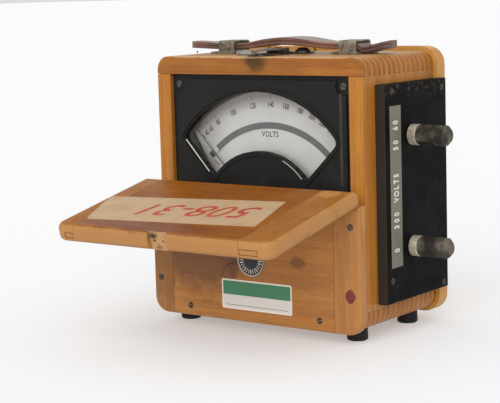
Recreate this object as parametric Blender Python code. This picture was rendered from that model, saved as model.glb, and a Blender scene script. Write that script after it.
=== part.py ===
# Portable moving-iron voltmeter in a comb-jointed wooden case with a drop-down lid.
# Metres, +Z up. The dial looks along -Y, the terminals along +X.
# The origin is under the centre of the whole, at the level that the feet stand on.

import math

import bmesh
import bpy
from mathutils import Matrix, Vector

# Clearances
joint_gap = 0.0003            # between two pieces that touch
cut_overrun = 0.002           # how far a cutter runs past what it cuts

# Case: four boards, comb-jointed along the four edges that run from front to back
case_width = 0.182
case_height = 0.190
case_depth = 0.0934
side_board_thickness = 0.0118
end_board_thickness = 0.0130
case_corner_radius = 0.010
finger_count = 29             # odd, so that the top and bottom boards end each row

# The case that the instrument was drawn for; a smaller case gets a smaller instrument
meter_case_width = 0.182
meter_case_height = 0.190
meter_case_depth = 0.0934

# Back board
back_overhang = 0.0030
back_thickness = 0.0137
back_edge_round = 0.0030

# Lower front board and lid: a middle board between two clamped ends
front_overhang = 0.0018
front_thickness = 0.0110
lower_board_height = 0.0890   # its top edge, above the underside of the case
front_edge_round = 0.0030
lower_left_clamp_width = 0.0195
lower_right_clamp_width = 0.0218
tongue_length = 0.0080
tongue_thickness = 0.0036
tongue_depth_share = 0.42     # of the board's thickness, from its outer face
lid_thickness = 0.0127
lid_overhang = 0.0026
lid_rise = 0.0015             # how far the shut lid stands higher than the lower board's overhang
lid_edge_round = 0.0038
lid_corner_radius = 0.0090
lid_left_clamp_width = 0.0181
lid_right_clamp_width = 0.0256
lid_right_tongue_length = 0.0150
lid_joint_gap = 0.0006        # between the closed lid and the lower front board
lid_open_angle = math.radians(102.0)

# Lid hinges
hinge_axis_out = 0.0010       # the pin's centre, in front of the front boards' faces
knuckle_radius = 0.0016
hinge_pin_radius = 0.0007
leaf_thickness = 0.0009
leaf_length = 0.032
leaf_depth = 0.0085
hinge_inset = 0.028           # from the case's side to the near end of a hinge
middle_knuckle_length = 0.0110

# Lid catch
catch_width = 0.0135
catch_notch_width = 0.0160
catch_notch_depth = 0.0040
strike_thickness = 0.0008
strike_screw_radius = 0.0009
strike_screw_spacing = 0.0070
catch_base_thickness = 0.0012
catch_base_length = 0.0500
catch_flange_width = 0.0340
catch_flange_length = 0.0130
catch_boss_radius = 0.0058
catch_boss_height = 0.0030
catch_axis_back = 0.0280      # the catch's pin, behind the front of the case
catch_axis_height = 0.0032
catch_ear_radius = 0.0022
catch_ear_thickness = 0.0016
catch_pin_radius = 0.0008
catch_barrel_radius = 0.0016
catch_tongue_thickness = 0.0009
catch_roll_radius = 0.0019
catch_roll_height = 0.0034
catch_roll_reach = 0.0112     # the roll's centre, in front of the case

# Meter panel
panel_block_size = 0.0098
panel_block_depth = 0.0120
panel_flange_front = 0.0035
panel_flange_thickness = 0.0040
panel_plateau_rise = 0.0015
panel_border = 0.0034
panel_screw_inset_side = 0.0060
panel_screw_inset_end = 0.0070
panel_pocket_radius = 0.0062
panel_rib_width = 0.0016
panel_rib_rise = 0.0008
panel_rib_gap = 0.0016

# Fan-shaped window: a sector with its point below the opening
window_centre_share = 0.4945  # of the width
window_point_height = 0.0610
window_side_angle = math.radians(45.0)
window_outer_radius = 0.0858
window_outer_height = 0.0790  # centre of the outer arc
window_inner_radius = 0.0517
window_inner_height = 0.0702  # centre of the inner arc
window_corner_radius = 0.0050
glass_thickness = 0.0020
glass_lap = 0.0035

# Meter housing behind the panel
housing_width = 0.1492
housing_drop = 0.0360         # from the staff's axis down to the housing's underside
housing_top = 0.1720
housing_depth = 0.0600
dial_box_depth = 0.0220       # the wide front part, around the dial
drum_width = 0.0660           # the narrow part behind it, around the movement
drum_rise = 0.0400            # from the staff's axis up to the drum's top
housing_wall = 0.0016
housing_top_radius = 0.0300
lead_hole_radius = 0.0024

# Dial
staff_height = 0.0660         # the pointer's axis above the underside of the case
dial_front = 0.0175
dial_thickness = 0.0008
dial_radius = 0.0985
dial_bottom_rise = 0.0200     # from the staff's axis up to the dial's lower edge
dial_bottom_half_width = 0.0425
dial_side_lean = math.radians(31.4)
mirror_radius = 0.0735
mirror_width = 0.0046
mirror_rise = 0.0003
mirror_half_angle = math.radians(47.0)

# Pointer and what turns with it
pointer_zero_angle = math.radians(134.0)   # from +X, seen from the front
pointer_length = 0.0970
pointer_front = 0.0144
pointer_thickness = 0.0006
pointer_root_half_width = 0.0011
pointer_tip_half_width = 0.0002
pointer_hub_front = 0.0262
pointer_hub_half_width = 0.0028
pointer_tail_length = 0.0120
crank_start = 0.0070
crank_end = 0.0160
staff_radius = 0.0008
staff_front = 0.0246
staff_bore_radius = 0.0011
collet_radius = 0.0021
collet_length = 0.0022

# Movement frame and its jewels
frame_width = 0.0140
frame_arm_front = 0.0200
frame_arm_thickness = 0.0040
frame_back_front = 0.0600
frame_back_thickness = 0.0040
frame_floor_drop = 0.0240     # from the staff's axis down to the frame's floor
frame_floor_thickness = 0.0040
frame_front_rise = 0.0055
frame_back_rise = 0.0340
dial_post_radius = 0.0030
dial_post_spread = 0.0240
dial_post_rise = 0.0270
dial_yoke_height = 0.0090
jewel_screw_radius = 0.0022
jewel_front_reach = 0.0090    # how far the front jewel screw stands out of its arm

# Coil and irons
former_front = 0.0334
former_length = 0.0156
former_bore_radius = 0.0100
former_tube_radius = 0.0112
former_flange_radius = 0.0234
former_flange_thickness = 0.0016
winding_radius = 0.0205
iron_thickness = 0.0009
fixed_iron_span = math.radians(110.0)
moving_iron_span = math.radians(46.0)
iron_end_margin = 0.0016

# Air damper
damper_front = 0.0500
damper_back_wall = 0.0008
damper_radius = 0.0234
damper_wall = 0.0012
damper_half_span = math.radians(66.0)
damper_inner_radius = 0.0030
damper_vane_thickness = 0.0006

# Hairspring and zero setting
spring_front = 0.0294
spring_width = 0.0010
spring_strip_thickness = 0.0003
spring_inner_radius = 0.0030
spring_outer_radius = 0.0130
spring_turns = 4
spring_points_per_turn = 16
zero_screw_height = 0.0925
zero_screw_radius = 0.0034
zero_head_rise = 0.0008
zero_slot_width = 0.0009
zero_slot_depth = 0.0011
eccentric_radius = 0.0008
eccentric_offset = 0.0012
zero_lever_front = 0.0112
zero_lever_thickness = 0.0012
zero_lever_half_width = 0.0024
zero_ring_radius = 0.0050
zero_pin_radius = 0.0008

# Series resistors on the back board
resistor_radius = 0.0085
resistor_length = 0.0620
resistor_foot_thickness = 0.0022
resistor_end_radius = 0.0100
resistor_spread = 0.0290
resistor_height = 0.0900
resistor_left_share = 0.60    # of the case's width

# Inner leads
lead_radius = 0.0011

# Terminal panel on the right-hand side
terminal_panel_thickness = 0.0078
terminal_panel_front = 0.0140
terminal_panel_lap = 0.0044   # over the back board's edge
terminal_panel_bottom = 0.0168
terminal_panel_top_inset = 0.0198
terminal_rebate_width = 0.0052
terminal_edge_round = 0.0008

# Binding posts
terminal_depth_share = 0.520  # of the case's depth
terminal_height_shares = (0.702, 0.286)
stud_radius = 0.0029
stud_inner_reach = 0.0130
stud_bore_radius = 0.0033
stud_nut_radius = 0.0052
stud_nut_thickness = 0.0036
collar_radius = 0.0074
collar_length = 0.0064
knob_radius = 0.0072
knob_length = 0.0238
knob_groove_depth = 0.0005
knob_cap_share = 0.36         # of the knob's length
knob_dome_share = 0.10
terminal_travel = 0.0050      # how far a knob screws out

# Carrying strap and its keepers
strap_centre_share = 0.500    # of the case's depth
strap_keeper_width = 0.0164   # the strap's width where the keepers hold it
strap_middle_width = 0.0250
strap_end_width = 0.0130
strap_thickness = 0.0044
strap_bow_thickening = 0.0008
strap_left_overhang = 0.0014  # from the case's left side in to the strap's end
strap_length = 0.1750
strap_rest = 0.0034           # underside in the keepers, above the case
strap_bow_rise = 0.0032
strap_end_rise = 0.0008
strap_droop = 0.0028
strap_curl_rise = 0.0038
strap_dip_share = 0.16        # of the length past the right keeper
strap_curl_share = 0.22
left_keeper_middle = 0.0368   # along X, from the case's left side
right_keeper_middle = 0.1452
keeper_loop_width = 0.0146
keeper_wall = 0.0010
keeper_base_length = 0.0227
keeper_base_thickness = 0.0030
keeper_flange = 0.0044
keeper_headroom = 0.0008      # how far the strap can rise in its keepers

# Rubber feet
foot_height = 0.0090
foot_radius = 0.0076
foot_top_radius = 0.0073
foot_recess_radius = 0.0030
foot_recess_depth = 0.0040
foot_side_inset = 0.0157
foot_front_inset = 0.0109
foot_back_inset = 0.0150

# Facets
fine_steps = 32
round_steps = 24
small_steps = 12
corner_steps = 6

# Places that follow from the sizes above
lid_height = case_height + front_overhang + lid_rise - lower_board_height - lid_joint_gap
hinge_axis_y = -front_thickness - hinge_axis_out
hinge_axis_z = lower_board_height + lid_joint_gap / 2
case_middle = case_width / 2
meter_middle = meter_case_width / 2
window_middle = meter_case_width * window_centre_share
meter_fit = min(case_width / meter_case_width, case_height / meter_case_height,
                case_depth / meter_case_depth)
meter_left = case_middle - meter_middle * meter_fit
meter_low = case_height - meter_case_height * meter_fit
panel_left = side_board_thickness + joint_gap
panel_right = case_width - side_board_thickness - joint_gap
panel_bottom = end_board_thickness + joint_gap
panel_top = case_height - end_board_thickness - joint_gap
panel_back = panel_flange_front + panel_flange_thickness
panel_face = panel_flange_front - panel_plateau_rise
housing_front = panel_back + joint_gap
housing_back = housing_front + housing_depth
housing_bottom = staff_height - housing_drop
drum_top = staff_height + drum_rise
dial_bottom = staff_height + dial_bottom_rise
frame_floor_top = staff_height - frame_floor_drop
frame_front_top = staff_height + frame_front_rise
frame_back_top = staff_height + frame_back_rise
dial_post_height = staff_height + dial_post_rise
terminal_panel_back = case_depth + terminal_panel_lap
terminal_panel_top = case_height - terminal_panel_top_inset
terminal_back = case_depth * terminal_depth_share
terminal_heights = tuple(case_height * share for share in terminal_height_shares)
strap_centre_back = case_depth * strap_centre_share
frame_front_back = frame_arm_front + frame_arm_thickness
staff_back = frame_back_front - joint_gap * 2
terminal_face = case_width + joint_gap + terminal_panel_thickness
terminal_knob_end = terminal_face + joint_gap * 2 + collar_length + knob_length
zero_screw_back = zero_lever_front + zero_lever_thickness + joint_gap
eccentric_height = zero_screw_height - eccentric_offset
lid_low = lid_joint_gap / 2
lid_top = lid_low + lid_height
lid_inner = hinge_axis_out + front_thickness - joint_gap
lid_outer = lid_inner - lid_thickness
lid_front_y = (hinge_axis_y - lid_edge_round
               + (lid_inner - lid_edge_round) * math.cos(lid_open_angle)
               - (lid_top - lid_edge_round) * math.sin(lid_open_angle))


# Start from an empty scene
for old in list(bpy.data.objects):
    bpy.data.objects.remove(old)


# Materials

def new_material(name, colour, roughness, metallic=0.0, alpha=1.0):
    material = bpy.data.materials.new(name)
    material.use_nodes = True
    shader = material.node_tree.nodes["Principled BSDF"]
    shader.inputs["Base Color"].default_value = (*colour, 1.0)
    shader.inputs["Roughness"].default_value = roughness
    shader.inputs["Metallic"].default_value = metallic
    shader.inputs["Alpha"].default_value = alpha
    material.diffuse_color = (*colour, alpha)
    return material


varnished_wood = new_material("varnished_wood", (0.52, 0.25, 0.07), 0.35)
end_wood = new_material("end_wood", (0.58, 0.31, 0.11), 0.4)
black_moulding = new_material("black_moulding", (0.018, 0.018, 0.02), 0.5)
ebonite = new_material("ebonite", (0.012, 0.012, 0.013), 0.42)
bakelite = new_material("bakelite", (0.03, 0.025, 0.02), 0.35)
clear_glass = new_material("clear_glass", (0.9, 0.95, 0.95), 0.03, alpha=0.3)
white_enamel = new_material("white_enamel", (0.8, 0.8, 0.77), 0.5)
mirror_glass = new_material("mirror_glass", (0.4, 0.41, 0.41), 0.15, 0.8)
brass = new_material("brass", (0.6, 0.45, 0.2), 0.35, 1.0)
nickel = new_material("nickel", (0.62, 0.58, 0.52), 0.3, 1.0)
tarnished_steel = new_material("tarnished_steel", (0.28, 0.27, 0.22), 0.5, 0.9)
soft_iron = new_material("soft_iron", (0.3, 0.3, 0.31), 0.5, 0.9)
copper_wire = new_material("copper_wire", (0.45, 0.16, 0.06), 0.4, 0.6)
aluminium = new_material("aluminium", (0.7, 0.7, 0.7), 0.4, 1.0)
pointer_paint = new_material("pointer_paint", (0.02, 0.02, 0.02), 0.5)
brown_leather = new_material("brown_leather", (0.2, 0.08, 0.05), 0.55)
black_rubber = new_material("black_rubber", (0.015, 0.015, 0.015), 0.8)
ceramic = new_material("ceramic", (0.5, 0.45, 0.36), 0.6)
cotton_sleeve = new_material("cotton_sleeve", (0.35, 0.05, 0.04), 0.85)


# Where things hang: the case's frame, and one empty on each joint's axis

def new_empty(name, place, parent=None):
    empty = bpy.data.objects.new(name, None)
    empty.empty_display_size = foot_radius
    empty.location = place
    empty.parent = parent
    bpy.context.scene.collection.objects.link(empty)
    return empty


low_x = -back_overhang
high_x = terminal_knob_end
low_y = lid_front_y
high_y = case_depth + joint_gap + back_thickness
case_frame = new_empty("case_frame", (-(low_x + high_x) / 2, -(low_y + high_y) / 2, foot_height))

# The instrument keeps its proportions: its pieces hang from the panel's back, its resistors from
# the case's back, and the panel's openings from the panel
meter_frame = new_empty("meter_frame", (meter_left, panel_back * (1 - meter_fit), meter_low), case_frame)
meter_frame.scale = (meter_fit,) * 3
opening_frame = new_empty("opening_frame", (meter_left, 0, meter_low), case_frame)
opening_frame.scale = (meter_fit, 1, meter_fit)
resistor_frame = new_empty("resistor_frame", (meter_left, case_depth - meter_case_depth * meter_fit,
                                              meter_low), case_frame)
resistor_frame.scale = (meter_fit,) * 3


# Shared shapes

def add_object(name, bm, material, parent, smooth=True):
    bmesh.ops.recalc_face_normals(bm, faces=bm.faces)
    mesh = bpy.data.meshes.new(name)
    bm.to_mesh(mesh)
    bm.free()
    mesh.materials.append(material)
    if smooth:
        mesh.shade_smooth()
        mesh.set_sharp_from_angle(angle=math.radians(34))
    obj = bpy.data.objects.new(name, mesh)
    obj.parent = parent
    bpy.context.scene.collection.objects.link(obj)
    return obj


def add_cutter(name, bm, parent):
    obj = add_object(name, bm, black_moulding, parent, smooth=False)
    obj.hide_render = True
    obj.display_type = "WIRE"
    return obj


def combine(obj, other, operation):
    modifier = obj.modifiers.new(other.name, "BOOLEAN")
    modifier.operation = operation
    modifier.object = other
    modifier.solver = "EXACT"


def cut_with(obj, other):
    combine(obj, other, "DIFFERENCE")


def join_with(obj, other):
    combine(obj, other, "UNION")


# A point in the plane square to an axis, at a height along it
def place_point(axis, first, second, along):
    if axis == "x":
        return Vector((along, first, second))
    if axis == "y":
        return Vector((first, along, second))
    return Vector((first, second, along))


# An outline extruded along an axis from low to high
def slab(outline, axis, low, high, bm=None):
    if bm is None:
        bm = bmesh.new()
    corners = [bm.verts.new(place_point(axis, first, second, low)) for first, second in outline]
    face = bm.faces.new(corners)
    grown = bmesh.ops.extrude_face_region(bm, geom=[face])
    moved = [item for item in grown["geom"] if isinstance(item, bmesh.types.BMVert)]
    bmesh.ops.translate(bm, verts=moved, vec=place_point(axis, 0, 0, high - low))
    bmesh.ops.recalc_face_normals(bm, faces=bm.faces)
    return bm


def box(low, high, bm=None):
    outline = [(low[0], low[2]), (high[0], low[2]), (high[0], high[2]), (low[0], high[2])]
    return slab(outline, "y", low[1], high[1], bm)


def arc(centre, radius, start, end, steps):
    turn = (end - start) / steps
    points = []
    for index in range(steps + 1):
        angle = start + turn * index
        points.append((centre[0] + radius * math.cos(angle), centre[1] + radius * math.sin(angle)))
    return points


# A rectangle whose corners, from the lower left round against the clock, have the given radii
def rounded_rectangle(left, bottom, right, top, radii, steps=corner_steps):
    quarter = math.pi / 2
    corners = [(left, bottom, 1, 1), (right, bottom, -1, 1), (right, top, -1, -1), (left, top, 1, -1)]
    points = []
    for index, (x, z, toward_x, toward_z) in enumerate(corners):
        radius = radii[index]
        if radius == 0:
            points.append((x, z))
            continue
        centre = (x + toward_x * radius, z + toward_z * radius)
        start = math.pi + quarter * index
        points += arc(centre, radius, start, start + quarter, steps)
    return points


# A profile of (radius, distance along) pairs turned about an axis through a centre
def turned(profile, axis, centre, steps=round_steps):
    bm = bmesh.new()
    rim = [bm.verts.new(place_point(axis, centre[0] + radius, centre[1], along))
           for radius, along in profile]
    edges = [bm.edges.new((rim[index], rim[(index + 1) % len(rim)])) for index in range(len(rim))]
    middle = place_point(axis, centre[0], centre[1], 0)
    bmesh.ops.spin(bm, geom=rim + edges, cent=middle, axis=place_point(axis, 0, 0, 1),
                   angle=2 * math.pi, steps=steps, use_merge=True)
    bmesh.ops.remove_doubles(bm, verts=bm.verts, dist=joint_gap / 100)
    bmesh.ops.dissolve_degenerate(bm, edges=bm.edges, dist=joint_gap / 100)
    loose = [edge for edge in bm.edges if not edge.link_faces]
    bmesh.ops.delete(bm, geom=loose, context="EDGES")
    bmesh.ops.recalc_face_normals(bm, faces=bm.faces)
    return bm


def rod(radius, low, high, axis, centre, steps=round_steps):
    outline = arc(centre, radius, 0, 2 * math.pi, steps)[:-1]
    return slab(outline, axis, low, high)


# Rounds the edges of an outline extruded along Y, but not where it meets another board
def soften_rim(bm, width, is_joint):
    rim = []
    for edge in bm.edges:
        middle = (edge.verts[0].co + edge.verts[1].co) / 2
        level = abs(edge.verts[0].co.y - edge.verts[1].co.y) < joint_gap
        if level and not is_joint(middle):
            rim.append(edge)
    bmesh.ops.bevel(bm, geom=rim, offset=width, offset_type="OFFSET", segments=3, profile=0.5,
                    affect="EDGES", clamp_overlap=True, material=-1)


# Case boards with comb joints

finger_width = case_depth / finger_count


# One box for each finger of the other board, across the end that the outline names
def comb_cutter(name, first, low, high):
    bm = bmesh.new()
    for index in range(first, finger_count, 2):
        front = finger_width * index - joint_gap / 2
        back = finger_width * (index + 1) + joint_gap / 2
        if index == 0:
            front -= cut_overrun
        if index == finger_count - 1:
            back += cut_overrun
        box((low[0], front, low[1]), (high[0], back, high[1]), bm)
    return add_cutter(name, bm, case_frame)


def make_case_boards():
    radius = case_corner_radius
    outer = cut_overrun
    side_inner = side_board_thickness + joint_gap
    end_inner = end_board_thickness + joint_gap
    left_outline = rounded_rectangle(0, 0, side_board_thickness, case_height, (radius, 0, 0, radius))
    right_outline = rounded_rectangle(case_width - side_board_thickness, 0, case_width, case_height,
                                      (0, radius, radius, 0))
    top_outline = rounded_rectangle(0, case_height - end_board_thickness, case_width, case_height,
                                    (0, 0, radius, radius))
    bottom_outline = rounded_rectangle(0, 0, case_width, end_board_thickness, (radius, radius, 0, 0))
    boards = {}
    for name, outline in (("left_side_board", left_outline), ("right_side_board", right_outline),
                          ("top_board", top_outline), ("bottom_board", bottom_outline)):
        boards[name] = add_object(name, slab(outline, "y", 0, case_depth), varnished_wood, case_frame)
    spans = {"left": (-outer, side_inner), "right": (case_width - side_inner, case_width + outer)}
    ends = {"bottom": (-outer, end_inner), "top": (case_height - end_inner, case_height + outer)}
    for side, (side_low, side_high) in spans.items():
        for end, (end_low, end_high) in ends.items():
            cutter = comb_cutter(side + "_" + end + "_side_comb", 0, (side_low, end_low),
                                 (side_high, end_high))
            cut_with(boards[side + "_side_board"], cutter)
            cutter = comb_cutter(side + "_" + end + "_end_comb", 1, (side_low, end_low),
                                 (side_high, end_high))
            cut_with(boards[end + "_board"], cutter)
    return boards


def make_back_board():
    out = back_overhang
    radius = case_corner_radius + out
    outline = rounded_rectangle(-out, -out, case_width + out, case_height + out, (radius,) * 4)
    front = case_depth + joint_gap
    bm = slab(outline, "y", front, front + back_thickness)
    soften_rim(bm, back_edge_round, lambda middle: middle.y < front + back_thickness / 2)
    return add_object("back_board", bm, varnished_wood, case_frame)


# A middle board with a tongue at each end, held in grooves in two upright end pieces.
# Height runs from low to high, measured from the parent; the thickness runs from y_out to y_in.
# Ends gives each end piece's width and its tongue's length, the left one first.
def make_clamped_board(names, parent, sides, low, high, y_out, y_in, radii, edge_round, ends):
    left, right = sides
    (left_width, left_tongue), (right_width, right_tongue) = ends
    shoulder_left = left + left_width
    shoulder_right = right - right_width
    middle_y = y_out + (y_in - y_out) * tongue_depth_share
    half_tongue = tongue_thickness / 2
    square = rounded_rectangle(shoulder_left, low, shoulder_right, high, (0, 0, 0, 0))
    bm = slab(square, "y", y_out, y_in)

    def at_shoulder(middle):
        near_left = abs(middle.x - shoulder_left) < joint_gap
        near_right = abs(middle.x - shoulder_right) < joint_gap
        return near_left or near_right

    soften_rim(bm, edge_round, at_shoulder)
    board = add_object(names[0], bm, varnished_wood, parent)
    tongue = box((shoulder_left - left_tongue, middle_y - half_tongue, low + edge_round),
                 (shoulder_right + right_tongue, middle_y + half_tongue, high - edge_round))
    join_with(board, add_cutter(names[0] + "_tongue", tongue, parent))
    groove_half = half_tongue + joint_gap
    pieces = ((names[1], left, shoulder_left - joint_gap, (radii[0], 0, 0, radii[3])),
              (names[2], shoulder_right + joint_gap, right, (0, radii[1], radii[2], 0)))
    clamps = []
    for name, x_low, x_high, end_radii in pieces:
        joint_x = shoulder_left if x_low == left else shoulder_right
        bm = slab(rounded_rectangle(x_low, low, x_high, high, end_radii), "y", y_out, y_in)
        soften_rim(bm, edge_round, lambda middle: abs(middle.x - joint_x) < 2 * joint_gap)
        clamp = add_object(name, bm, varnished_wood, parent)
        if x_low == left:
            slot = (shoulder_left - left_tongue - joint_gap, shoulder_left + cut_overrun)
        else:
            slot = (shoulder_right - cut_overrun, shoulder_right + right_tongue + joint_gap)
        groove = box((slot[0], middle_y - groove_half, low - cut_overrun),
                     (slot[1], middle_y + groove_half, high + cut_overrun))
        cut_with(clamp, add_cutter(name + "_groove", groove, parent))
        clamps.append(clamp)
    return board, clamps


def make_lower_front():
    radius = case_corner_radius + front_overhang
    names = ("lower_front_board", "lower_left_clamp", "lower_right_clamp")
    return make_clamped_board(names, case_frame, (-front_overhang, case_width + front_overhang),
                              -front_overhang, lower_board_height, -front_thickness, -joint_gap,
                              (radius, radius, 0, 0), front_edge_round,
                              ((lower_left_clamp_width, tongue_length),
                               (lower_right_clamp_width, tongue_length)))


# Lid. Its empty stands on the hinge pins' line; without the turn the lid would be shut.

lid_frame = new_empty("lid_frame", (case_middle, hinge_axis_y, hinge_axis_z), case_frame)
lid_frame.rotation_euler = (lid_open_angle, 0, 0)


def make_lid():
    radius = lid_corner_radius
    half_width = case_middle + lid_overhang
    names = ("lid_board", "lid_left_clamp", "lid_right_clamp")
    board, clamps = make_clamped_board(names, lid_frame, (-half_width, half_width), lid_low, lid_top,
                                       lid_outer, lid_inner, (0, 0, radius, radius), lid_edge_round,
                                       ((lid_left_clamp_width, tongue_length),
                                        (lid_right_clamp_width, lid_right_tongue_length)))
    half_notch = catch_notch_width / 2
    notch = box((-half_notch, lid_outer - cut_overrun, lid_top - catch_notch_depth),
                (half_notch, lid_inner + cut_overrun, lid_top + cut_overrun))
    cut_with(board, add_cutter("catch_notch", notch, lid_frame))
    floor = lid_top - catch_notch_depth + joint_gap
    strike = box((-half_notch + joint_gap, lid_outer, floor),
                 (half_notch - joint_gap, lid_inner, floor + strike_thickness))
    plate = add_object("lid_strike_plate", strike, tarnished_steel, lid_frame)
    for side in (-1, 1):
        hole = rod(strike_screw_radius, floor - cut_overrun, floor + cut_overrun, "z",
                   (side * strike_screw_spacing / 2, (lid_outer + lid_inner) / 2), small_steps)
        cut_with(plate, add_cutter("strike_screw_hole", hole, lid_frame))
    return board


# Butt hinges: the leaves are let into the meeting edges, the knuckles stand out in front

def knuckle_tube(low, high):
    return rod(knuckle_radius, low, high, "x", (0, 0), round_steps)


def leaf_plate(low, high, bottom, top):
    return box((low, -knuckle_radius / 2, bottom), (high, hinge_axis_out + leaf_depth, top))


def make_hinge(side, start, boards):
    low = start
    high = start + leaf_length
    middle_low = (low + high - middle_knuckle_length) / 2
    middle_high = middle_low + middle_knuckle_length
    pin_line = new_empty(side + "_hinge_line", (case_middle, hinge_axis_y, hinge_axis_z), case_frame)
    under = -lid_joint_gap / 2
    over = lid_joint_gap / 2
    seat_top = under - leaf_thickness - joint_gap
    recess = knuckle_radius + joint_gap * 2

    # The leaf on the lower board carries the outer knuckles and the pin
    leaf = add_object(side + "_hinge_case_leaf", knuckle_tube(low, high), tarnished_steel, pin_line)
    join_with(leaf, add_cutter(side + "_case_plate",
                               leaf_plate(low, high, under - leaf_thickness, under), pin_line))
    gap_round = rod(recess, middle_low - joint_gap, middle_high + joint_gap, "x", (0, 0), round_steps)
    cut_with(leaf, add_cutter(side + "_knuckle_gap", gap_round, pin_line))
    pin = rod(hinge_pin_radius, low, high, "x", (0, 0), small_steps)
    join_with(leaf, add_cutter(side + "_hinge_pin", pin, pin_line))

    # The leaf on the lid carries the middle knuckle
    lid_leaf = add_object(side + "_hinge_lid_leaf", knuckle_tube(middle_low, middle_high),
                          tarnished_steel, lid_frame)
    join_with(lid_leaf, add_cutter(side + "_lid_plate",
                                   leaf_plate(low, high, over, over + leaf_thickness), lid_frame))
    for end_low, end_high in ((low - cut_overrun, middle_low), (middle_high, high + cut_overrun)):
        clear = rod(recess, end_low, end_high, "x", (0, 0), round_steps)
        cut_with(lid_leaf, add_cutter(side + "_outer_knuckle_gap", clear, lid_frame))
    bore = rod(hinge_pin_radius + joint_gap, low - cut_overrun, high + cut_overrun, "x", (0, 0),
               small_steps)
    cut_with(lid_leaf, add_cutter(side + "_hinge_bore", bore, lid_frame))

    # Seats for both leaves and their knuckles
    back = hinge_axis_out + leaf_depth + joint_gap
    case_seat = box((low - joint_gap, -knuckle_radius, seat_top),
                    (high + joint_gap, back, over))
    cut_with(boards["lower"], add_cutter(side + "_case_seat", case_seat, pin_line))
    lid_seat = box((low - joint_gap, -knuckle_radius, under),
                   (high + joint_gap, back, over + leaf_thickness + joint_gap))
    cut_with(boards["lid"], add_cutter(side + "_lid_seat", lid_seat, lid_frame))
    for board, frame in ((boards["lower"], pin_line), (boards["lid"], lid_frame)):
        clear = rod(recess, low - joint_gap, high + joint_gap, "x", (0, 0), round_steps)
        cut_with(board, add_cutter(side + "_knuckle_recess", clear, frame))


# Catch: a base on the top board, and a sprung tongue whose rolled end drops over the lid

catch_axis_z = case_height + catch_axis_height
catch_frame = new_empty("catch_frame", (case_middle, catch_axis_back, catch_axis_z), case_frame)


def make_catch():
    half = catch_width / 2
    low = case_height + joint_gap
    high = low + catch_base_thickness
    base = add_object("catch_base", box((case_middle - half, 0, low),
                                        (case_middle + half, catch_base_length, high)),
                      tarnished_steel, case_frame)
    flange_half = catch_flange_width / 2
    flange = box((case_middle - flange_half, catch_base_length - catch_flange_length, low),
                 (case_middle + flange_half, catch_base_length, high))
    join_with(base, add_cutter("catch_flange", flange, case_frame))
    boss_y = catch_base_length - catch_flange_length / 2
    overlap = catch_base_thickness / 2
    rim = catch_boss_radius
    crown = catch_boss_radius / 2
    for side in (-1, 1):
        boss = turned([(0, low + overlap), (rim, low + overlap), (rim, high + overlap),
                       (crown, high + catch_boss_height), (0, high + catch_boss_height)],
                      "z", (case_middle + side * (flange_half - catch_boss_radius), boss_y))
        join_with(base, add_cutter("catch_boss", boss, case_frame))
    for side in (-1, 1):
        inner = half + joint_gap
        outer = inner + catch_ear_thickness
        ear_low = case_middle + min(side * inner, side * outer)
        ear = rod(catch_ear_radius, ear_low, ear_low + catch_ear_thickness, "x",
                  (catch_axis_back, catch_axis_z), round_steps)
        join_with(base, add_cutter("catch_ear", ear, case_frame))
        foot = box((ear_low, catch_axis_back - catch_ear_radius, low),
                   (ear_low + catch_ear_thickness, catch_axis_back + catch_ear_radius, catch_axis_z))
        join_with(base, add_cutter("catch_ear_foot", foot, case_frame))
        lug = box((case_middle + min(0, side * outer), catch_axis_back - catch_ear_radius, low),
                  (case_middle + max(0, side * outer), catch_axis_back + catch_ear_radius, high))
        join_with(base, add_cutter("catch_ear_lug", lug, case_frame))
    reach = half + joint_gap + catch_ear_thickness
    pin = rod(catch_pin_radius, case_middle - reach, case_middle + reach, "x",
              (catch_axis_back, catch_axis_z), small_steps)
    join_with(base, add_cutter("catch_pin", pin, case_frame))

    # The tongue, in the frame of its pin: forwards is -Y
    roll_y = -(catch_axis_back + catch_roll_reach)
    roll_z = catch_roll_height - catch_axis_height
    strip_top = catch_barrel_radius
    strip_low = catch_barrel_radius - catch_tongue_thickness
    tongue = add_object("catch_tongue", rod(catch_barrel_radius, -half, half, "x", (0, 0)),
                        nickel, catch_frame)
    strip = box((-half, roll_y, strip_low), (half, 0, strip_top))
    join_with(tongue, add_cutter("catch_strip", strip, catch_frame))
    roll = rod(catch_roll_radius, -half, half, "x", (roll_y, roll_z))
    join_with(tongue, add_cutter("catch_roll", roll, catch_frame))
    bore = rod(catch_pin_radius + joint_gap, -half - cut_overrun, half + cut_overrun, "x", (0, 0),
               small_steps)
    cut_with(tongue, add_cutter("catch_bore", bore, catch_frame))


# Fan-shaped outline, grown outwards on every side by a margin

# Where a ray from the fan's point meets an arc centred straight above that point
def ray_meets_circle(point_z, angle, radius, centre_z):
    height = centre_z - point_z
    along = height * math.sin(angle)
    reach = along + math.sqrt(radius * radius - height * height + along * along)
    return math.cos(angle) * reach, point_z + math.sin(angle) * reach


# Replaces a corner between two straight runs by an arc that touches both
def rounded_corner(before, corner, after, radius, steps):
    here = Vector(corner)
    back = (Vector(before) - here).normalized()
    ahead = (Vector(after) - here).normalized()
    half = back.angle(ahead) / 2
    cut_back = radius / math.tan(half)
    start = here + back * cut_back
    end = here + ahead * cut_back
    centre = here + (back + ahead).normalized() * (radius / math.sin(half))
    from_angle = math.atan2(start.y - centre.y, start.x - centre.x)
    to_angle = math.atan2(end.y - centre.y, end.x - centre.x)
    turn = (to_angle - from_angle + math.pi) % (2 * math.pi) - math.pi
    return arc(tuple(centre), radius, from_angle, from_angle + turn, steps)


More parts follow.
